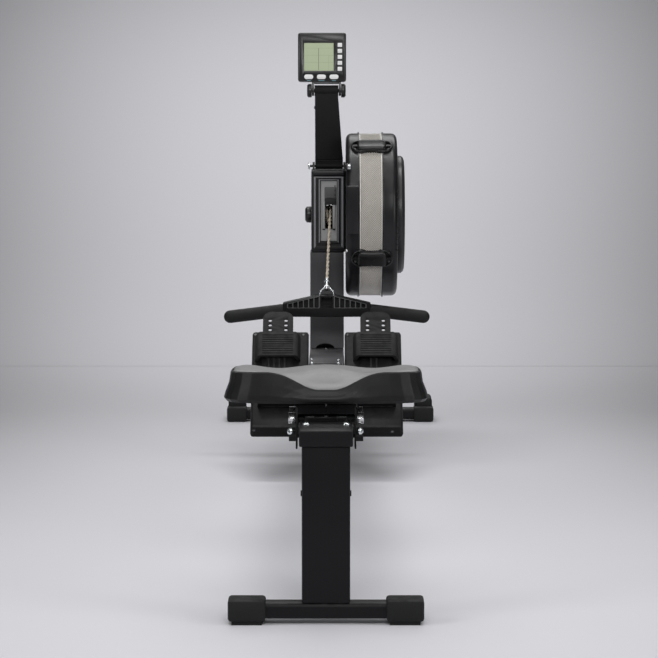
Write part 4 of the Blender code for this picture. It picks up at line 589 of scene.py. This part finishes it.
def makeClip(angle):
    # a moulded bridge over the band: a round cup with a raised rim at each end, and a bar from cup to cup
    low, high = clip["x"]
    middle, half, cup = (low + high) / 2, (high - low) / 2, clip["cup"]
    out = (Vector(onDrum(0, 0.0, 1.0, angle)) - Vector(onDrum(0, 0.0, 0.0, angle))).normalized()
    parts = []
    for sign in (-1, 1):
        rings = [[(sign * (half - cup) + cup * share * math.cos(turn), cup * share * math.sin(turn), lift)
                  for turn in around(clip["cupSides"])] for share, lift in clip["cupRings"]]
        parts.append(sweepOnDrum("clipCup", middle, angle, rings))
        # at each end the near-black stud paints the shade in the upper hollow, and the steel stud sits in the lower one
        for across, look, lift in clip["studs"]:
            foot = Vector(onDrum(middle + sign * (half - clip["studIn"]), across, clip["studLift"], angle))
            parts.append(panHead("clipStud", foot, out, clip["stud"], lift, look))
        x0, x1 = sorted(sign * (half - inward) for inward in clip["web"])
        foot = [(x0, -clip["webHalf"]), (x1, -clip["webHalf"]), (x1, clip["webHalf"]), (x0, clip["webHalf"])]
        parts.append(sweepOnDrum("clipWeb", middle, angle, [[(*corner, lift) for corner in foot]
                                                            for lift in clip["webLift"]]))
    barHalf, barWide = half - clip["barIn"], cup * clip["barWide"]
    rings = []
    for grow, lift in clip["barRings"]:
        ring = []
        for turn in around(clip["barSides"]):
            c, d = math.cos(turn), math.sin(turn)
            x = math.copysign(abs(c) ** clip["barPower"][0], c) * (barHalf + grow)
            across = math.copysign(abs(d) ** clip["barPower"][1], d) * (barWide + grow)
            slim = 1.0 - clip["waist"] * math.cos(min(1.0, abs(x) / barHalf) * math.pi / 2) ** 2
            ring.append((x, across * slim, lift))
        rings.append(ring)
    parts.append(sweepOnDrum("clipBar", middle, angle, rings))
    return joined("clip", parts)


shells = {"clipLift": 0.0032, "clipBelowX": 0.124, "padX": (0.0448, 0.0718), "padY": (0.5935, 0.640),
          "padZ": (0.4945, 0.6009), "padEdge": 0.0014, "screws": ((0.0523, 0.5893), (0.0545, 0.5089)), "proud": 0.0002,
          "wellDeep": 0.003, "well": 0.0040, "screw": (0.0027, 0.0014)}


def makeShells():
    # the outer shell's copy loses its flat clips, and the rounder ones stand over their feet
    shell = skins["fan_case_outer"]
    editAll(shell, "DESELECT")
    editDone()
    for vertex in shell.data.vertices:
        reach = math.dist(vertex.co.yz, housing["axle"])
        if reach > housing["radius"] + shells["clipLift"] or vertex.co.x < shells["clipBelowX"]:
            vertex.select = True
    bpy.ops.object.mode_set(mode="EDIT")
    bpy.ops.mesh.delete(type="VERT")
    editDone()
    give(joined("caseClips", [makeClip(angle) for angle in clip["angles"]]), "frame")
    low, high = zip(shells["padX"], shells["padY"], shells["padZ"])
    parts = [block("bossPad", low, high, "casePlastic", shells["padEdge"])]
    front = low[1] - shells["proud"]
    # a near-black well round each screw paints the shade of its recess
    for x, z in shells["screws"]:
        parts.append(rod("bossWell", (x, front, z), (x, low[1] + shells["wellDeep"], z), shells["well"], "recessBlack"))
        parts.append(panHead("bossScrew", (x, front, z), (0, -1, 0), *shells["screw"]))
    give(joined("casePad", parts), "frame")


catches = {"count": 5, "step": 4.2, "in": 0.0030, "x": 0.1566, "long": 0.0036, "lean": 0.0010, "radius": 0.0016}


def makeCoverTrim():  # a row of small catches where the outer shell meets the inlet cover
    parts = []
    for k in range(-catches["count"], catches["count"] + 1):
        angle = k * catches["step"]
        start = Vector(onDrum(catches["x"], 0.0, -catches["in"], angle))
        end = start + Vector((catches["long"], catches["lean"] * math.cos(math.radians(angle)), 0))
        parts.append(rod("caseCatch", start, end, catches["radius"], "recessBlack", 10))
    give(joined("caseCatches", parts), "frame")


makeBand()
makeShells()
makeCoverTrim()
print("stage: housing")


def onFace(node, x, z, toward=(0, 1, 0), y=-3.0):
    # the first place where a line parallel to the ground meets a piece
    return skins[node].ray_cast(Vector((x, y, z)), Vector(toward))[1]


def ringsMesh(name, rings, finishName, sides=4):
    # rectangular rings (x0, x1, z0, z1, y) joined one to the next; the lowest side is left out with three sides
    points = [place for x0, x1, z0, z1, y in rings for place in ((x0, y, z0), (x1, y, z0), (x1, y, z1), (x0, y, z1))]
    faces = [face for i, face in enumerate(tubeFaces(len(rings), 4)) if i % 4 >= 4 - sides]
    return smoothBy(meshObject(name, points, faces, finishName), head["smooth"])


head = {"outer": (-0.0330, 0.0415, 0.4437, 0.6139), "inner": (-0.0141, 0.0230, 0.4645, 0.6030), "face": 0.7408,
        "steps": ((0.0, 0.0), (0.02, -0.0014), (0.10, -0.0026), (0.24, -0.0030), (0.33, -0.0026), (0.40, -0.0010),
                  (0.62, -0.0006), (0.70, -0.0022), (0.84, -0.0028), (0.93, -0.0024), (1.0, -0.0006), (1.0, 0.0048)),
        "ridges": (
            ((0.17, -0.0020), (0.20, -0.0036), (0.24, -0.0040), (0.36, -0.0040), (0.41, -0.0034), (0.44, -0.0008)),
            ((0.76, -0.0016), (0.79, -0.0032), (0.84, -0.0035), (0.90, -0.0032), (0.93, -0.0020))),
        "plate": (-0.0142, 0.0231, 0.4618, 0.6017), "plateY": 0.7421, "plateThick": 0.0003, "smooth": 35,
        "slot": (-0.0039, 0.0132, 0.4923, 0.5613), "pivotY": 0.781, "aside": -0.2, "armScrewZ": 0.7678,
        "armScrew": (0.0036, 0.0022, "darkSteel")}
headPieces = {  # what makes each piece, its name, its two corners or ends, and its looks
    "headTrim": (
        # the near-black feet of the slot's legs, the hollow under the hood and the hood's holes are painted shade
        (block, "slotLeg", (-0.0098, 0.7388, 0.4925), (-0.0040, 0.7420, 0.5560), "plateGrey", 0.0012),
        (block, "slotFoot", (-0.0100, 0.7400, 0.4895), (-0.0038, 0.7420, 0.4924), "recessBlack", 0.0008),
        (block, "slotLeg", (0.0133, 0.7388, 0.4925), (0.0191, 0.7420, 0.5560), "plateGrey", 0.0012),
        (block, "slotFoot", (0.0131, 0.7400, 0.4895), (0.0193, 0.7420, 0.4924), "recessBlack", 0.0008),
        (block, "slotHood", (-0.0050, 0.7376, 0.5625), (0.0217, 0.7420, 0.5880), "hoodGrey", 0.0020),
        (block, "slotShade", (-0.0050, 0.7384, 0.5470), (0.0217, 0.7420, 0.5624), "recessBlack", 0.0008),
        (rod, "slotGlint", (-0.0008, 0.7385, 0.5464), (0.0036, 0.7385, 0.5464), 0.0009, "brightSteel", 12, 0.0003),
        (rod, "slotGlint", (0.0076, 0.7385, 0.5464), (0.0120, 0.7385, 0.5464), 0.0009, "brightSteel", 12, 0.0003),
        (rod, "hoodHole", (0.0186, 0.7372, 0.5905), (0.0186, 0.7380, 0.5905), 0.0016, "recessBlack", 16),
        (rod, "hoodHole", (0.0186, 0.7372, 0.5800), (0.0186, 0.7380, 0.5800), 0.0013, "recessBlack", 16),
        (rod, "hoodHole", (0.0186, 0.7372, 0.5700), (0.0186, 0.7380, 0.5700), 0.0016, "recessBlack", 16),
        (block, "headLedge", (-0.0338, 0.7352, 0.6141), (0.0418, 0.7470, 0.6262), "headPlastic", 0.0048, 5),
        (rod, "pivotBoltLeft", (-0.0432, 0.781, 0.6335), (-0.0387, 0.781, 0.6335), 0.0076, "zinc", 6, 0.0007),
        (rod, "pivotWasherLeft", (-0.0396, 0.781, 0.6335), (-0.0386, 0.781, 0.6335), 0.0090, "zinc", 32, 0.0003)),
    "armTrim": ((block, "armSeam", (-0.0266, 0.7680, 0.6463), (0.0344, 0.7686, 0.6470), "recessBlack", 0.0002),),
    "caseBolts": (
        (rod, "caseLug", (0.0436, 0.6300, 0.6409), (0.0466, 0.6300, 0.6409), 0.0090, "casePlastic", 32, 0.0008),
        (rod, "caseBolt", (0.0467, 0.6290, 0.6409), (0.0535, 0.6290, 0.6409), 0.0076, "zinc", 6, 0.0009),
        (rod, "caseLugFoot", (0.0440, 0.6300, 0.6409), (0.0500, 0.6420, 0.6409), 0.0060, "casePlastic", 24, 0.0008),
        (panHead, "caseScrew", (0.0446, 0.6150, 0.4537), (-0.7, -0.75, 0.0), 0.0042, 0.0030, "brightSteel"))}


def made(group):
    return [make(*row) for make, *row in headPieces[group]]


def headRings(steps):
    return [tuple(a + (b - a) * share for a, b in zip(head["outer"], head["inner"])) + (head["face"] + lift,)
            for share, lift in steps]


def makeBezel():
    # the sill at the bottom slopes inward in one sweep, and the other three sides carry the two ridges, a lighter grey
    # as painted highlight
    parts = [ringsMesh("windowBezel", headRings(head["steps"]), "headPlastic")]
    parts += [ringsMesh("windowRidge", headRings(steps), "ridgeHighlightGrey", sides=3) for steps in head["ridges"]]
    x0, x1, z0, z1 = head["plate"]
    sx0, sx1, sz0, sz1 = head["slot"]
    points = [(x, head["plateY"], z) for z in (z0, sz0, sz1, z1) for x in (x0, sx0, sx1, x1)]
    faces = [(r * 4 + c, r * 4 + c + 1, r * 4 + c + 5, r * 4 + c + 4) for r in range(3) for c in range(3)
             if (r, c) != (1, 1)]  # all but the slot
    plate = meshObject("windowPlate", points, faces, "plateGrey")
    plate.modifiers.new("wall", "SOLIDIFY").thickness = head["plateThick"]
    parts.append(applyAll(plate))
    give(joined("headTrim", parts + made("headTrim")), "frame")
    side = onFace("monitor_arm", head["aside"], head["armScrewZ"], (1, 0, 0), head["pivotY"])
    give(joined("armTrim", made("armTrim") + [panHead("armScrew", side, (-1, 0, 0), *head["armScrew"])]), "arm")
    give(joined("caseBolts", made("caseBolts")), "frame")


cord = {"reach": 0.0198, "turns": 1.5, "steps": 90, "runSteps": 120, "pitch": 0.0090, "start": -0.0051,
        "end": (0.0, 0.621, 0.3785), "lay": 0.022, "offset": 0.0014, "strand": 0.0022, "sides": 10, "smooth": 50,
        "firstTurn": {"cordTurns": 0.0, "cordRun": 0.6},
        "collars": ((-0.0150, -0.0105, 0.0046), (-0.0106, -0.0052, 0.0060), (-0.0054, 0.0030, 0.0046)),
        "bail": ((-0.0158, 0.6085, 0.3510), (-0.0157, 0.6070, 0.3566), (-0.0146, 0.6068, 0.3610),
                 (-0.0120, 0.6070, 0.3655), (-0.0070, 0.6085, 0.3706), (-0.0028, 0.6130, 0.3752)), "wire": 0.0013}


def strand(name, route, firstTurn, finishName):
    # one strand of a two-strand cord, laid round its route; the turns on the drum lie nearly square to X
    points, sides = [], cord["sides"]
    travelled = 0.0
    for k, place in enumerate(route):
        ahead = (route[min(k + 1, len(route) - 1)] - route[max(k - 1, 0)]).normalized()
        first = (Vector((1, 0, 0)) - ahead * ahead.x).normalized()
        second = ahead.cross(first)
        if k:
            travelled += (place - route[k - 1]).length
        turn = firstTurn + 2 * math.pi * travelled / cord["lay"]
        centre = place + cord["offset"] * (math.cos(turn) * first + math.sin(turn) * second)
        points += [centre + cord["strand"] * (math.cos(angle) * first + math.sin(angle) * second)
                   for angle in around(sides)]
    ends = [tuple(reversed(range(sides))), lastRing(len(route), sides)]
    return smoothBy(meshObject(name, points, tubeFaces(len(route), sides) + ends, finishName), cord["smooth"])


def makeCord():  # the turns stay on the drum, and the straight run goes from the drum to the handle, baked in place on no body
    centreY, centreZ = housing["axle"]
    end = Vector(cord["end"])
    run = Vector((0, end.y - centreY, end.z - centreZ))
    leave = math.atan2(run.z, -run.y) + math.acos(cord["reach"] / run.length)
    count = int(cord["turns"] * cord["steps"])
    wound = []
    for i in range(count + 1):
        angle = leave + 2 * math.pi * (cord["turns"] * cord["steps"] - i) / cord["steps"]
        wound.append(Vector((cord["start"] + cord["pitch"] * i / cord["steps"],
                             centreY - cord["reach"] * math.cos(angle), centreZ + cord["reach"] * math.sin(angle))))
    straight = [wound[-1].lerp(end, k / cord["runSteps"]) for k in range(cord["runSteps"] + 1)]
    for name, route in (("cordTurns", wound), ("cordRun", straight)):
        piece = joined(name, [strand(name, route, cord["firstTurn"][name] + math.pi * k, look)
                              for k, look in enumerate(("cordTan", "cordShade"))])
        if name == "cordTurns":
            give(piece, "frame", "pull_cord")
        else:
            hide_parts("pull_cord")
            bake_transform(piece)
    ahead = (straight[-1] - straight[0]).normalized()
    knot = [rod("cordKnot", straight[-1] + ahead * low, straight[-1] + ahead * high, radius, "zinc", 24, 0.0012)
            for low, high, radius in cord["collars"]]
    bail = [Vector(place) for place in cord["bail"]]
    bail += [Vector((-place.x, place.y, place.z)) for place in reversed(bail)]
    knot += [rod("bailWire", near, far, cord["wire"], "zinc", 16) for near, far in zip(bail, bail[1:])]
    give(joined("cordKnot", knot), "handle")


marks = {  # x0, x1, z0, z1 and the finish: three rows and two posts on the display
         "screen": ((-0.0514, 0.0149, 0.90295, 0.90345, "lcdLine"), (-0.0514, 0.0149, 0.88665, 0.88715, "lcdLine"),
                    (-0.0514, 0.0149, 0.87055, 0.87105, "lcdLine"), (-0.0192, -0.0182, 0.8536, 0.9032, "lcdPost"),
                    (0.0040, 0.0045, 0.8536, 0.8868, "lcdLine")),
         # on the case a plain mark under each oval key, and the strip under the square keys, less proud
         "case": ((-0.0455, -0.0365, 0.8288, 0.8302, "markCyan"), (-0.0190, -0.0055, 0.8288, 0.8302, "markCyan"),
                  (0.0115, 0.0205, 0.8288, 0.8302, "markCyan")),
         "strip": (0.0222, 0.0374, 0.8480, 0.9180, "recessSoft", 0.00010)}


def faceMark(node, x0, x1, z0, z1, finishName, proud=0.00015):
    corners = [onFace(node, x, z) - Vector((0, proud, 0)) for x, z in ((x0, z0), (x1, z0), (x1, z1), (x0, z1))]
    return meshObject("mark", corners, [(0, 1, 2, 3)], finishName)


def makeMonitor():
    skins["lcd_window"] = skinOf("lcd_window", "lcdGlass")
    parts = [faceMark("lcd_window", *row) for row in marks["screen"]]
    parts += [faceMark("monitor_case", *row) for row in (*marks["case"], marks["strip"])]
    give(joined("monitorMarks", parts), "monitor")


makeBezel()
makeCord()
makeMonitor()
print("stage: head, cord and monitor")


def share(value):  # kept from 0 to 1
    return min(1.0, max(0.0, value))


def ease(value):
    return share(value) ** 2 * (3 - 2 * share(value))


rim = {"low": 0.350, "high": 0.385, "nearEnd": -0.950, "nearFade": 0.030, "depth": 0.0290, "half": 0.092, "flat": 0.012,
       "step": 0.002, "count": 50, "across": (-1.002, -1.005, -1.008, -1.011), "farStart": -0.850, "farFade": 0.050,
       "farDip": 0.0030, "farFrom": 0.095, "farOver": 0.045, "farBump": 0.0020, "bumpAt": 0.075, "bumpHalf": 0.035,
       "above": 0.6, "cuts": 7, "smooth": 38}


def measureNotch(shell):  # how far the plain solid's near rim lies below its shoulder, from the middle outwards
    heights = []
    for k in range(rim["count"]):
        hits = [shell.ray_cast(Vector((rim["step"] * k, y, rim["above"])), Vector((0, 0, -1))) for y in rim["across"]]
        heights.append(max(place.z for hit, place, _, _ in hits if hit))
    return [heights[-1] - height for height in heights]


notch = measureNotch(skins["seat_shell"])


def settleRim(co):
    # the near notch is deeper and wider than the plain solid's, and the far rim dips more between its corners
    reach = abs(co.x)
    height = ease((co.z - rim["low"]) / (rim["high"] - rim["low"]))
    near = ease((rim["nearEnd"] - co.y) / rim["nearFade"])
    wide = rim["depth"] * ease((rim["half"] - reach) / (rim["half"] - rim["flat"]))
    place = min(reach / rim["step"], len(notch) - 1.001)
    k = int(place)
    plain = notch[k] + (notch[k + 1] - notch[k]) * (place - k)
    far = ease((co.y - rim["farStart"]) / rim["farFade"])
    dip = rim["farDip"] * (1 - ease((reach - rim["farFrom"]) / rim["farOver"]))
    dip += rim["farBump"] * max(0.0, 1 - ((reach - rim["bumpAt"]) / rim["bumpHalf"]) ** 2)
    return height * (near * (plain - wide) - far * dip)


def makeShell():
    shell = skins["seat_shell"]
    editAll(shell)
    bpy.ops.mesh.subdivide(number_cuts=rim["cuts"])
    editDone()
    for vertex in shell.data.vertices:
        vertex.co.z += settleRim(vertex.co)
    smoothBy(shell, rim["smooth"])


padding = {"cell": 0.0046, "near": -0.985, "nearFade": 0.045, "topFrom": 0.372, "topFade": 0.014, "raise": 0.0020,
           "grow": 0.0080, "growFrom": 0.6, "held": 0.3860, "heldFade": 0.006, "frames": 20,
           "cloth": {"use_pressure": True, "uniform_pressure_force": 4.0, "tension_stiffness": 12,
                     "compression_stiffness": 12, "bending_stiffness": 0.6, "vertex_group_mass": "held"},
           "most": 0.0022, "even": (0.5, 6)}


def shapePad(pad):  # the copy of the solid gets its notch, its raised top and its rounder sides
    low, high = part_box("seat_pad")
    centre = (low + high) / 2
    for vertex in pad.data.vertices:
        co = vertex.co
        rise = ease((co.y - padding["near"]) / padding["nearFade"])
        rise *= share((co.z - padding["topFrom"]) / padding["topFade"])
        side = Vector(((co.x - centre.x) / (high.x - centre.x), (co.y - centre.y) / (high.y - centre.y), 0))
        co.z += settleRim(co) + padding["raise"] * rise
        if side.length > padding["growFrom"]:
            co += side.normalized() * padding["grow"] * rise * share(side.length)


def fillPad(pad):  # a short run of cloth under pressure, held at its foot, swells the top a little
    before = [v.co.copy() for v in pad.data.vertices]
    held = pad.vertex_groups.new(name="held")
    for vertex in pad.data.vertices:
        held.add([vertex.index], share((padding["held"] - vertex.co.z) / padding["heldFade"]), "REPLACE")
    cloth = pad.modifiers.new("fill", "CLOTH")
    cloth.settings.effector_weights.gravity = 0.0
    assign(cloth.settings, padding["cloth"])
    cloth.collision_settings.use_collision = False
    for span in (cloth.point_cache, scene):
        span.frame_start, span.frame_end = 1, padding["frames"]
    for step in range(1, padding["frames"] + 1):
        scene.frame_set(step)
    applyAll(pad)
    scene.frame_set(1)
    for vertex, start in zip(pad.data.vertices, before):
        moved = vertex.co - start
        if moved.length > padding["most"]:
            vertex.co = start + moved.normalized() * padding["most"]


def makePad():
    pad = linked("seatCushion", nodes["seat_pad"].data.copy())
    assign(pad.modifiers.new("grid", "REMESH"), {"mode": "VOXEL", "voxel_size": padding["cell"]})
    applyAll(pad)
    shapePad(pad)
    fillPad(pad)
    even = pad.modifiers.new("even", "SMOOTH")
    even.factor, even.iterations = padding["even"]
    pad.modifiers.new("finer", "SUBSURF").levels = 1
    applyAll(pad)
    bpy.ops.object.shade_smooth()
    # the grey finish paints the reflection on the black vinyl
    dress(pad, "seatVinylSheen")
    give(pad, "seat", "seat_pad")


makeShell()
makePad()
print("stage: seat")


eye = {"place": Vector(view["place"]), "ahead": Vector((0, 0.99225, -0.1243)), "up": Vector((0, 0.1243, 0.99225)),
       "scale": 2800.0, "middle": 329.0}


def seenOn(names, across, down):
    # where the photograph's line of sight first meets one of the pieces, so a detail lies on what carries it
    line = (eye["ahead"] + Vector((1, 0, 0)) * (across - eye["middle"]) / eye["scale"]
            + eye["up"] * (eye["middle"] - down) / eye["scale"]).normalized()
    met = [skins[name].ray_cast(eye["place"], line) for name in names]
    return min((row[1:3] for row in met if row[0]), key=lambda spot: (spot[0] - eye["place"]).length)


def screwAt(names, across, down, radius, height, finishName, sunk=0.0):
    place, normal = seenOn(names, across, down)
    return panHead("screw", place - normal * sunk, normal, radius, height, finishName)


# each plate screw sits in a near-black rim, painted shade round its head
feet = {"rim": (0.0048, 0.0008, "recessBlack", 0.0004), "head": (0.0026, 0.0013, "darkSteel", 0.0003),
               "beltDown": (358.6, 369.5), "beltProud": 0.0008, "belt": 0.0026,
               "screws": {"left": ((255.4, 334.8), (303.3, 334.8), (253.8, 430.3)),
                          "right": ((347.2, 334.8), (395.3, 334.8), (392.3, 431.6))},
               "belts": {"left": (268.6, 274.0, 279.4, 284.8), "right": (371.0, 376.5)}}


def makeFeet(side):
    plate, slider = "foot_plate_" + side, "toe_slider_" + side
    parts = [screwAt([plate], *spot, *feet[look]) for spot in feet["screws"][side]
             for look in ("rim", "head")]
    give(joined("plateScrews_" + side, parts), "frame")
    ribs = []
    for across in feet["belts"][side]:
        start, end = (place + normal * feet["beltProud"]
                      for place, normal in (seenOn([plate, slider], across, down) for down in feet["beltDown"]))
        ribs.append(rod("beltRib", start, end, feet["belt"], "softRubber", 16))
    give(joined("beltRibs_" + side, ribs), slider)


makeFeet("left")
makeFeet("right")

neck = {"on": ("column_shroud", "front_frame"), "pin": (326.2, 348.8, 0.0050, 0.0022, "darkSteel"),
        "screws": ((311.8, 359.4), (311.8, 363.7), (338.4, 360.3), (338.4, 363.9)), "screw": (0.0034, 0.0024, "zinc"),
        "seamAcross": range(312, 345, 3), "seamDown": 361.6, "seamHalf": 0.0008, "seamProud": 0.0003}
bolts = [screwAt(neck["on"], *neck["pin"])] + [screwAt(neck["on"], *spot, *neck["screw"]) for spot in neck["screws"]]
spots = [seenOn(neck["on"], across, neck["seamDown"]) for across in neck["seamAcross"]]
points, faces = [], []
for k, (place, normal) in enumerate(spots):  # a dark line across the neck, laid on the faces that it meets
    ahead = spots[min(k + 1, len(spots) - 1)][0] - spots[max(k - 1, 0)][0]
    aside = ahead.cross(normal).normalized() * neck["seamHalf"]
    points += [place + sign * aside + normal * neck["seamProud"] for sign in (1, -1)]
    if k:
        faces.append((2 * k - 2, 2 * k - 1, 2 * k + 1, 2 * k))
bolts.append(meshObject("neckSeam", points, faces, "recessBlack"))
give(joined("neckBolts", bolts), "frame")

carriage = {"on": ("carriage_plate_left", "carriage_plate_right", "lower_roller_left", "lower_roller_right",
                   "seat_axle_rear", "seat_shell", "upper_roller_rear"),
            "nuts": ((291.0, (-0.62, -0.76, 0.10)), (359.6, (0.62, -0.76, 0.10))), "down": 431.3,
            "nut": (0.0062, 0.0046, "zinc"), "bright": 0.050}
nuts = [panHead("carriageNut", seenOn(carriage["on"], across, carriage["down"])[0], toward, *carriage["nut"])
        for across, toward in carriage["nuts"]]
give(joined("carriageBolts", nuts), "seat")
for node in ("seat_axle_rear", "seat_axle_front"):  # the axles' faces between the plates take the near-black finish as painted shade, so only the nuts outside the plates are bright
    axle = skins[node].data
    axle.materials.append(finish["recessBlack"])
    for face in axle.polygons:
        face.material_index = int(abs(face.center.x) < carriage["bright"])

bracket = {"x": (-0.0330, 0.0335), "y": -1.060, "above": 0.6, "screw": (0.0060, 0.0042, "zinc")}
top = []
for x in bracket["x"]:
    start = Vector((x, bracket["y"], bracket["above"]))
    met = skins["rail_end_bracket"].ray_cast(start, Vector((0, 0, -1)))
    top.append(panHead("bracketScrew", *met[1:3], *bracket["screw"]))
give(joined("bracketScrews", top), "frame")

collar = {"x": 0.0958, "near": 0.0012, "droop": 0.105, "from": 0.0004, "to": 0.0050, "proud": 0.0012, "edge": 0.0010}
for side, sign in (("left", -1), ("right", 1)):
    inner = [v.co for v in skins["grip_" + side].data.vertices if abs(v.co.x - sign * collar["x"]) < collar["near"]]
    middle = sum(inner, Vector()) / len(inner)
    reach = max((co - middle).length for co in inner)
    slope = Vector((sign, 0, -collar["droop"])).normalized()
    ring = rod("gripCollar", middle + slope * collar["from"], middle + slope * collar["to"], reach + collar["proud"],
               "handleBlack", 40, collar["edge"])
    give(joined("gripCollar_" + side, [ring]), "handle")
print("stage: details")


def slab(name, outline, y0, y1, finishName):
    # an upright plate with its outline in X and Z, between two depths
    count = len(outline)
    points = [(x, y, z) for y in (y0, y1) for x, z in outline]
    faces = [tuple(range(count)), tuple(reversed(range(count, 2 * count)))]
    faces += [(i, count + i, count + (i + 1) % count, (i + 1) % count) for i in range(count)]
    obj = meshObject(name, points, faces, finishName)
    outward(obj)
    return obj


def panel(name, x0, x1, z0, z1, y0, y1, finishName):
    return slab(name, [(x0, z0), (x1, z0), (x1, z1), (x0, z1)], y0, y1, finishName)


core = {"lip": 0.3262, "peak": 0.3510, "slope": 0.243, "flat": 0.018, "ends": (0.0178, 0.0874), "ribs": 7,
        "ribFrom": 0.0169, "pitch": 0.0119, "rib": 0.0011, "front": 0.6052, "face": 0.6062, "deep": 0.6150,
        "thick": 0.0004, "near": 0.0165, "past": 0.0012, "sill": 0.0011, "eave": (0.0002, 0.0012), "gap": 0.0003,
        "middleZ": 0.3410, "well": (-0.0136, 0.0124, 0.3325, 0.3490), "wellDepth": (-0.0005, 0.0003),
        "stay": (-0.0110, 0.0098, 0.3470, 0.3478), "stayDepth": (-0.0010, -0.0006)}


def coreTop(x, above=0.0):
    return core["peak"] - core["slope"] * max(0.0, abs(x) - core["flat"]) + above


def coreSlab(name, x0, x1, low, raised, y0, y1, finishName):  # a slab whose top follows the handle's slope
    return slab(name, [(x0, low), (x1, low), (x1, coreTop(x1, raised)), (x0, coreTop(x0, raised))], y0, y1, finishName)


# in front the ribs, sill, eave and stay are lighter as painted highlight, and the near-black panels behind the windows
# are painted shade
trim, face = [], (core["front"], core["face"], "ribGrey")
for sign in (-1, 1):
    first, last = core["ends"]
    for i in range(core["ribs"]):
        middle = sign * (core["ribFrom"] + i * core["pitch"])
        trim.append(coreSlab("coreRib", middle - core["rib"], middle + core["rib"], core["lip"], 0.0, *face))
    x0, x1 = sign * core["near"], sign * (last + core["past"])
    trim.append(panel("coreSill", x0, x1, core["lip"] - core["sill"], core["lip"], *face))
    low, high = core["eave"]
    trim.append(slab("coreEave", [(x0, coreTop(x0, low)), (x1, coreTop(x1, low)), (x1, coreTop(x1, high)),
                                  (x0, coreTop(x0, high))], *face))
    trim.append(coreSlab("coreShade", sign * first, sign * last, core["lip"] + core["gap"], -core["gap"],
                         core["deep"], core["deep"] + core["thick"], "recessBlack"))
front = onFace("handle_core", 0.0, core["middleZ"]).y
trim.append(panel("coreWell", *core["well"], *[front + depth for depth in core["wellDepth"]], "recessBlack"))
trim.append(panel("coreStay", *core["stay"], *[front + depth for depth in core["stayDepth"]], "ribGrey"))
give(joined("handleTrim", trim), "handle")
print("stage: handle trim")

for node, obj in nodes.items():  # whatever still shows of the solids gets a finish too
    if node not in skins:
        dress(obj, {"fan_mesh_band": "brightSteel", "pull_cord": "softRubber"}.get(node, "powderCoat"))

pickNone()
print("stage: done")
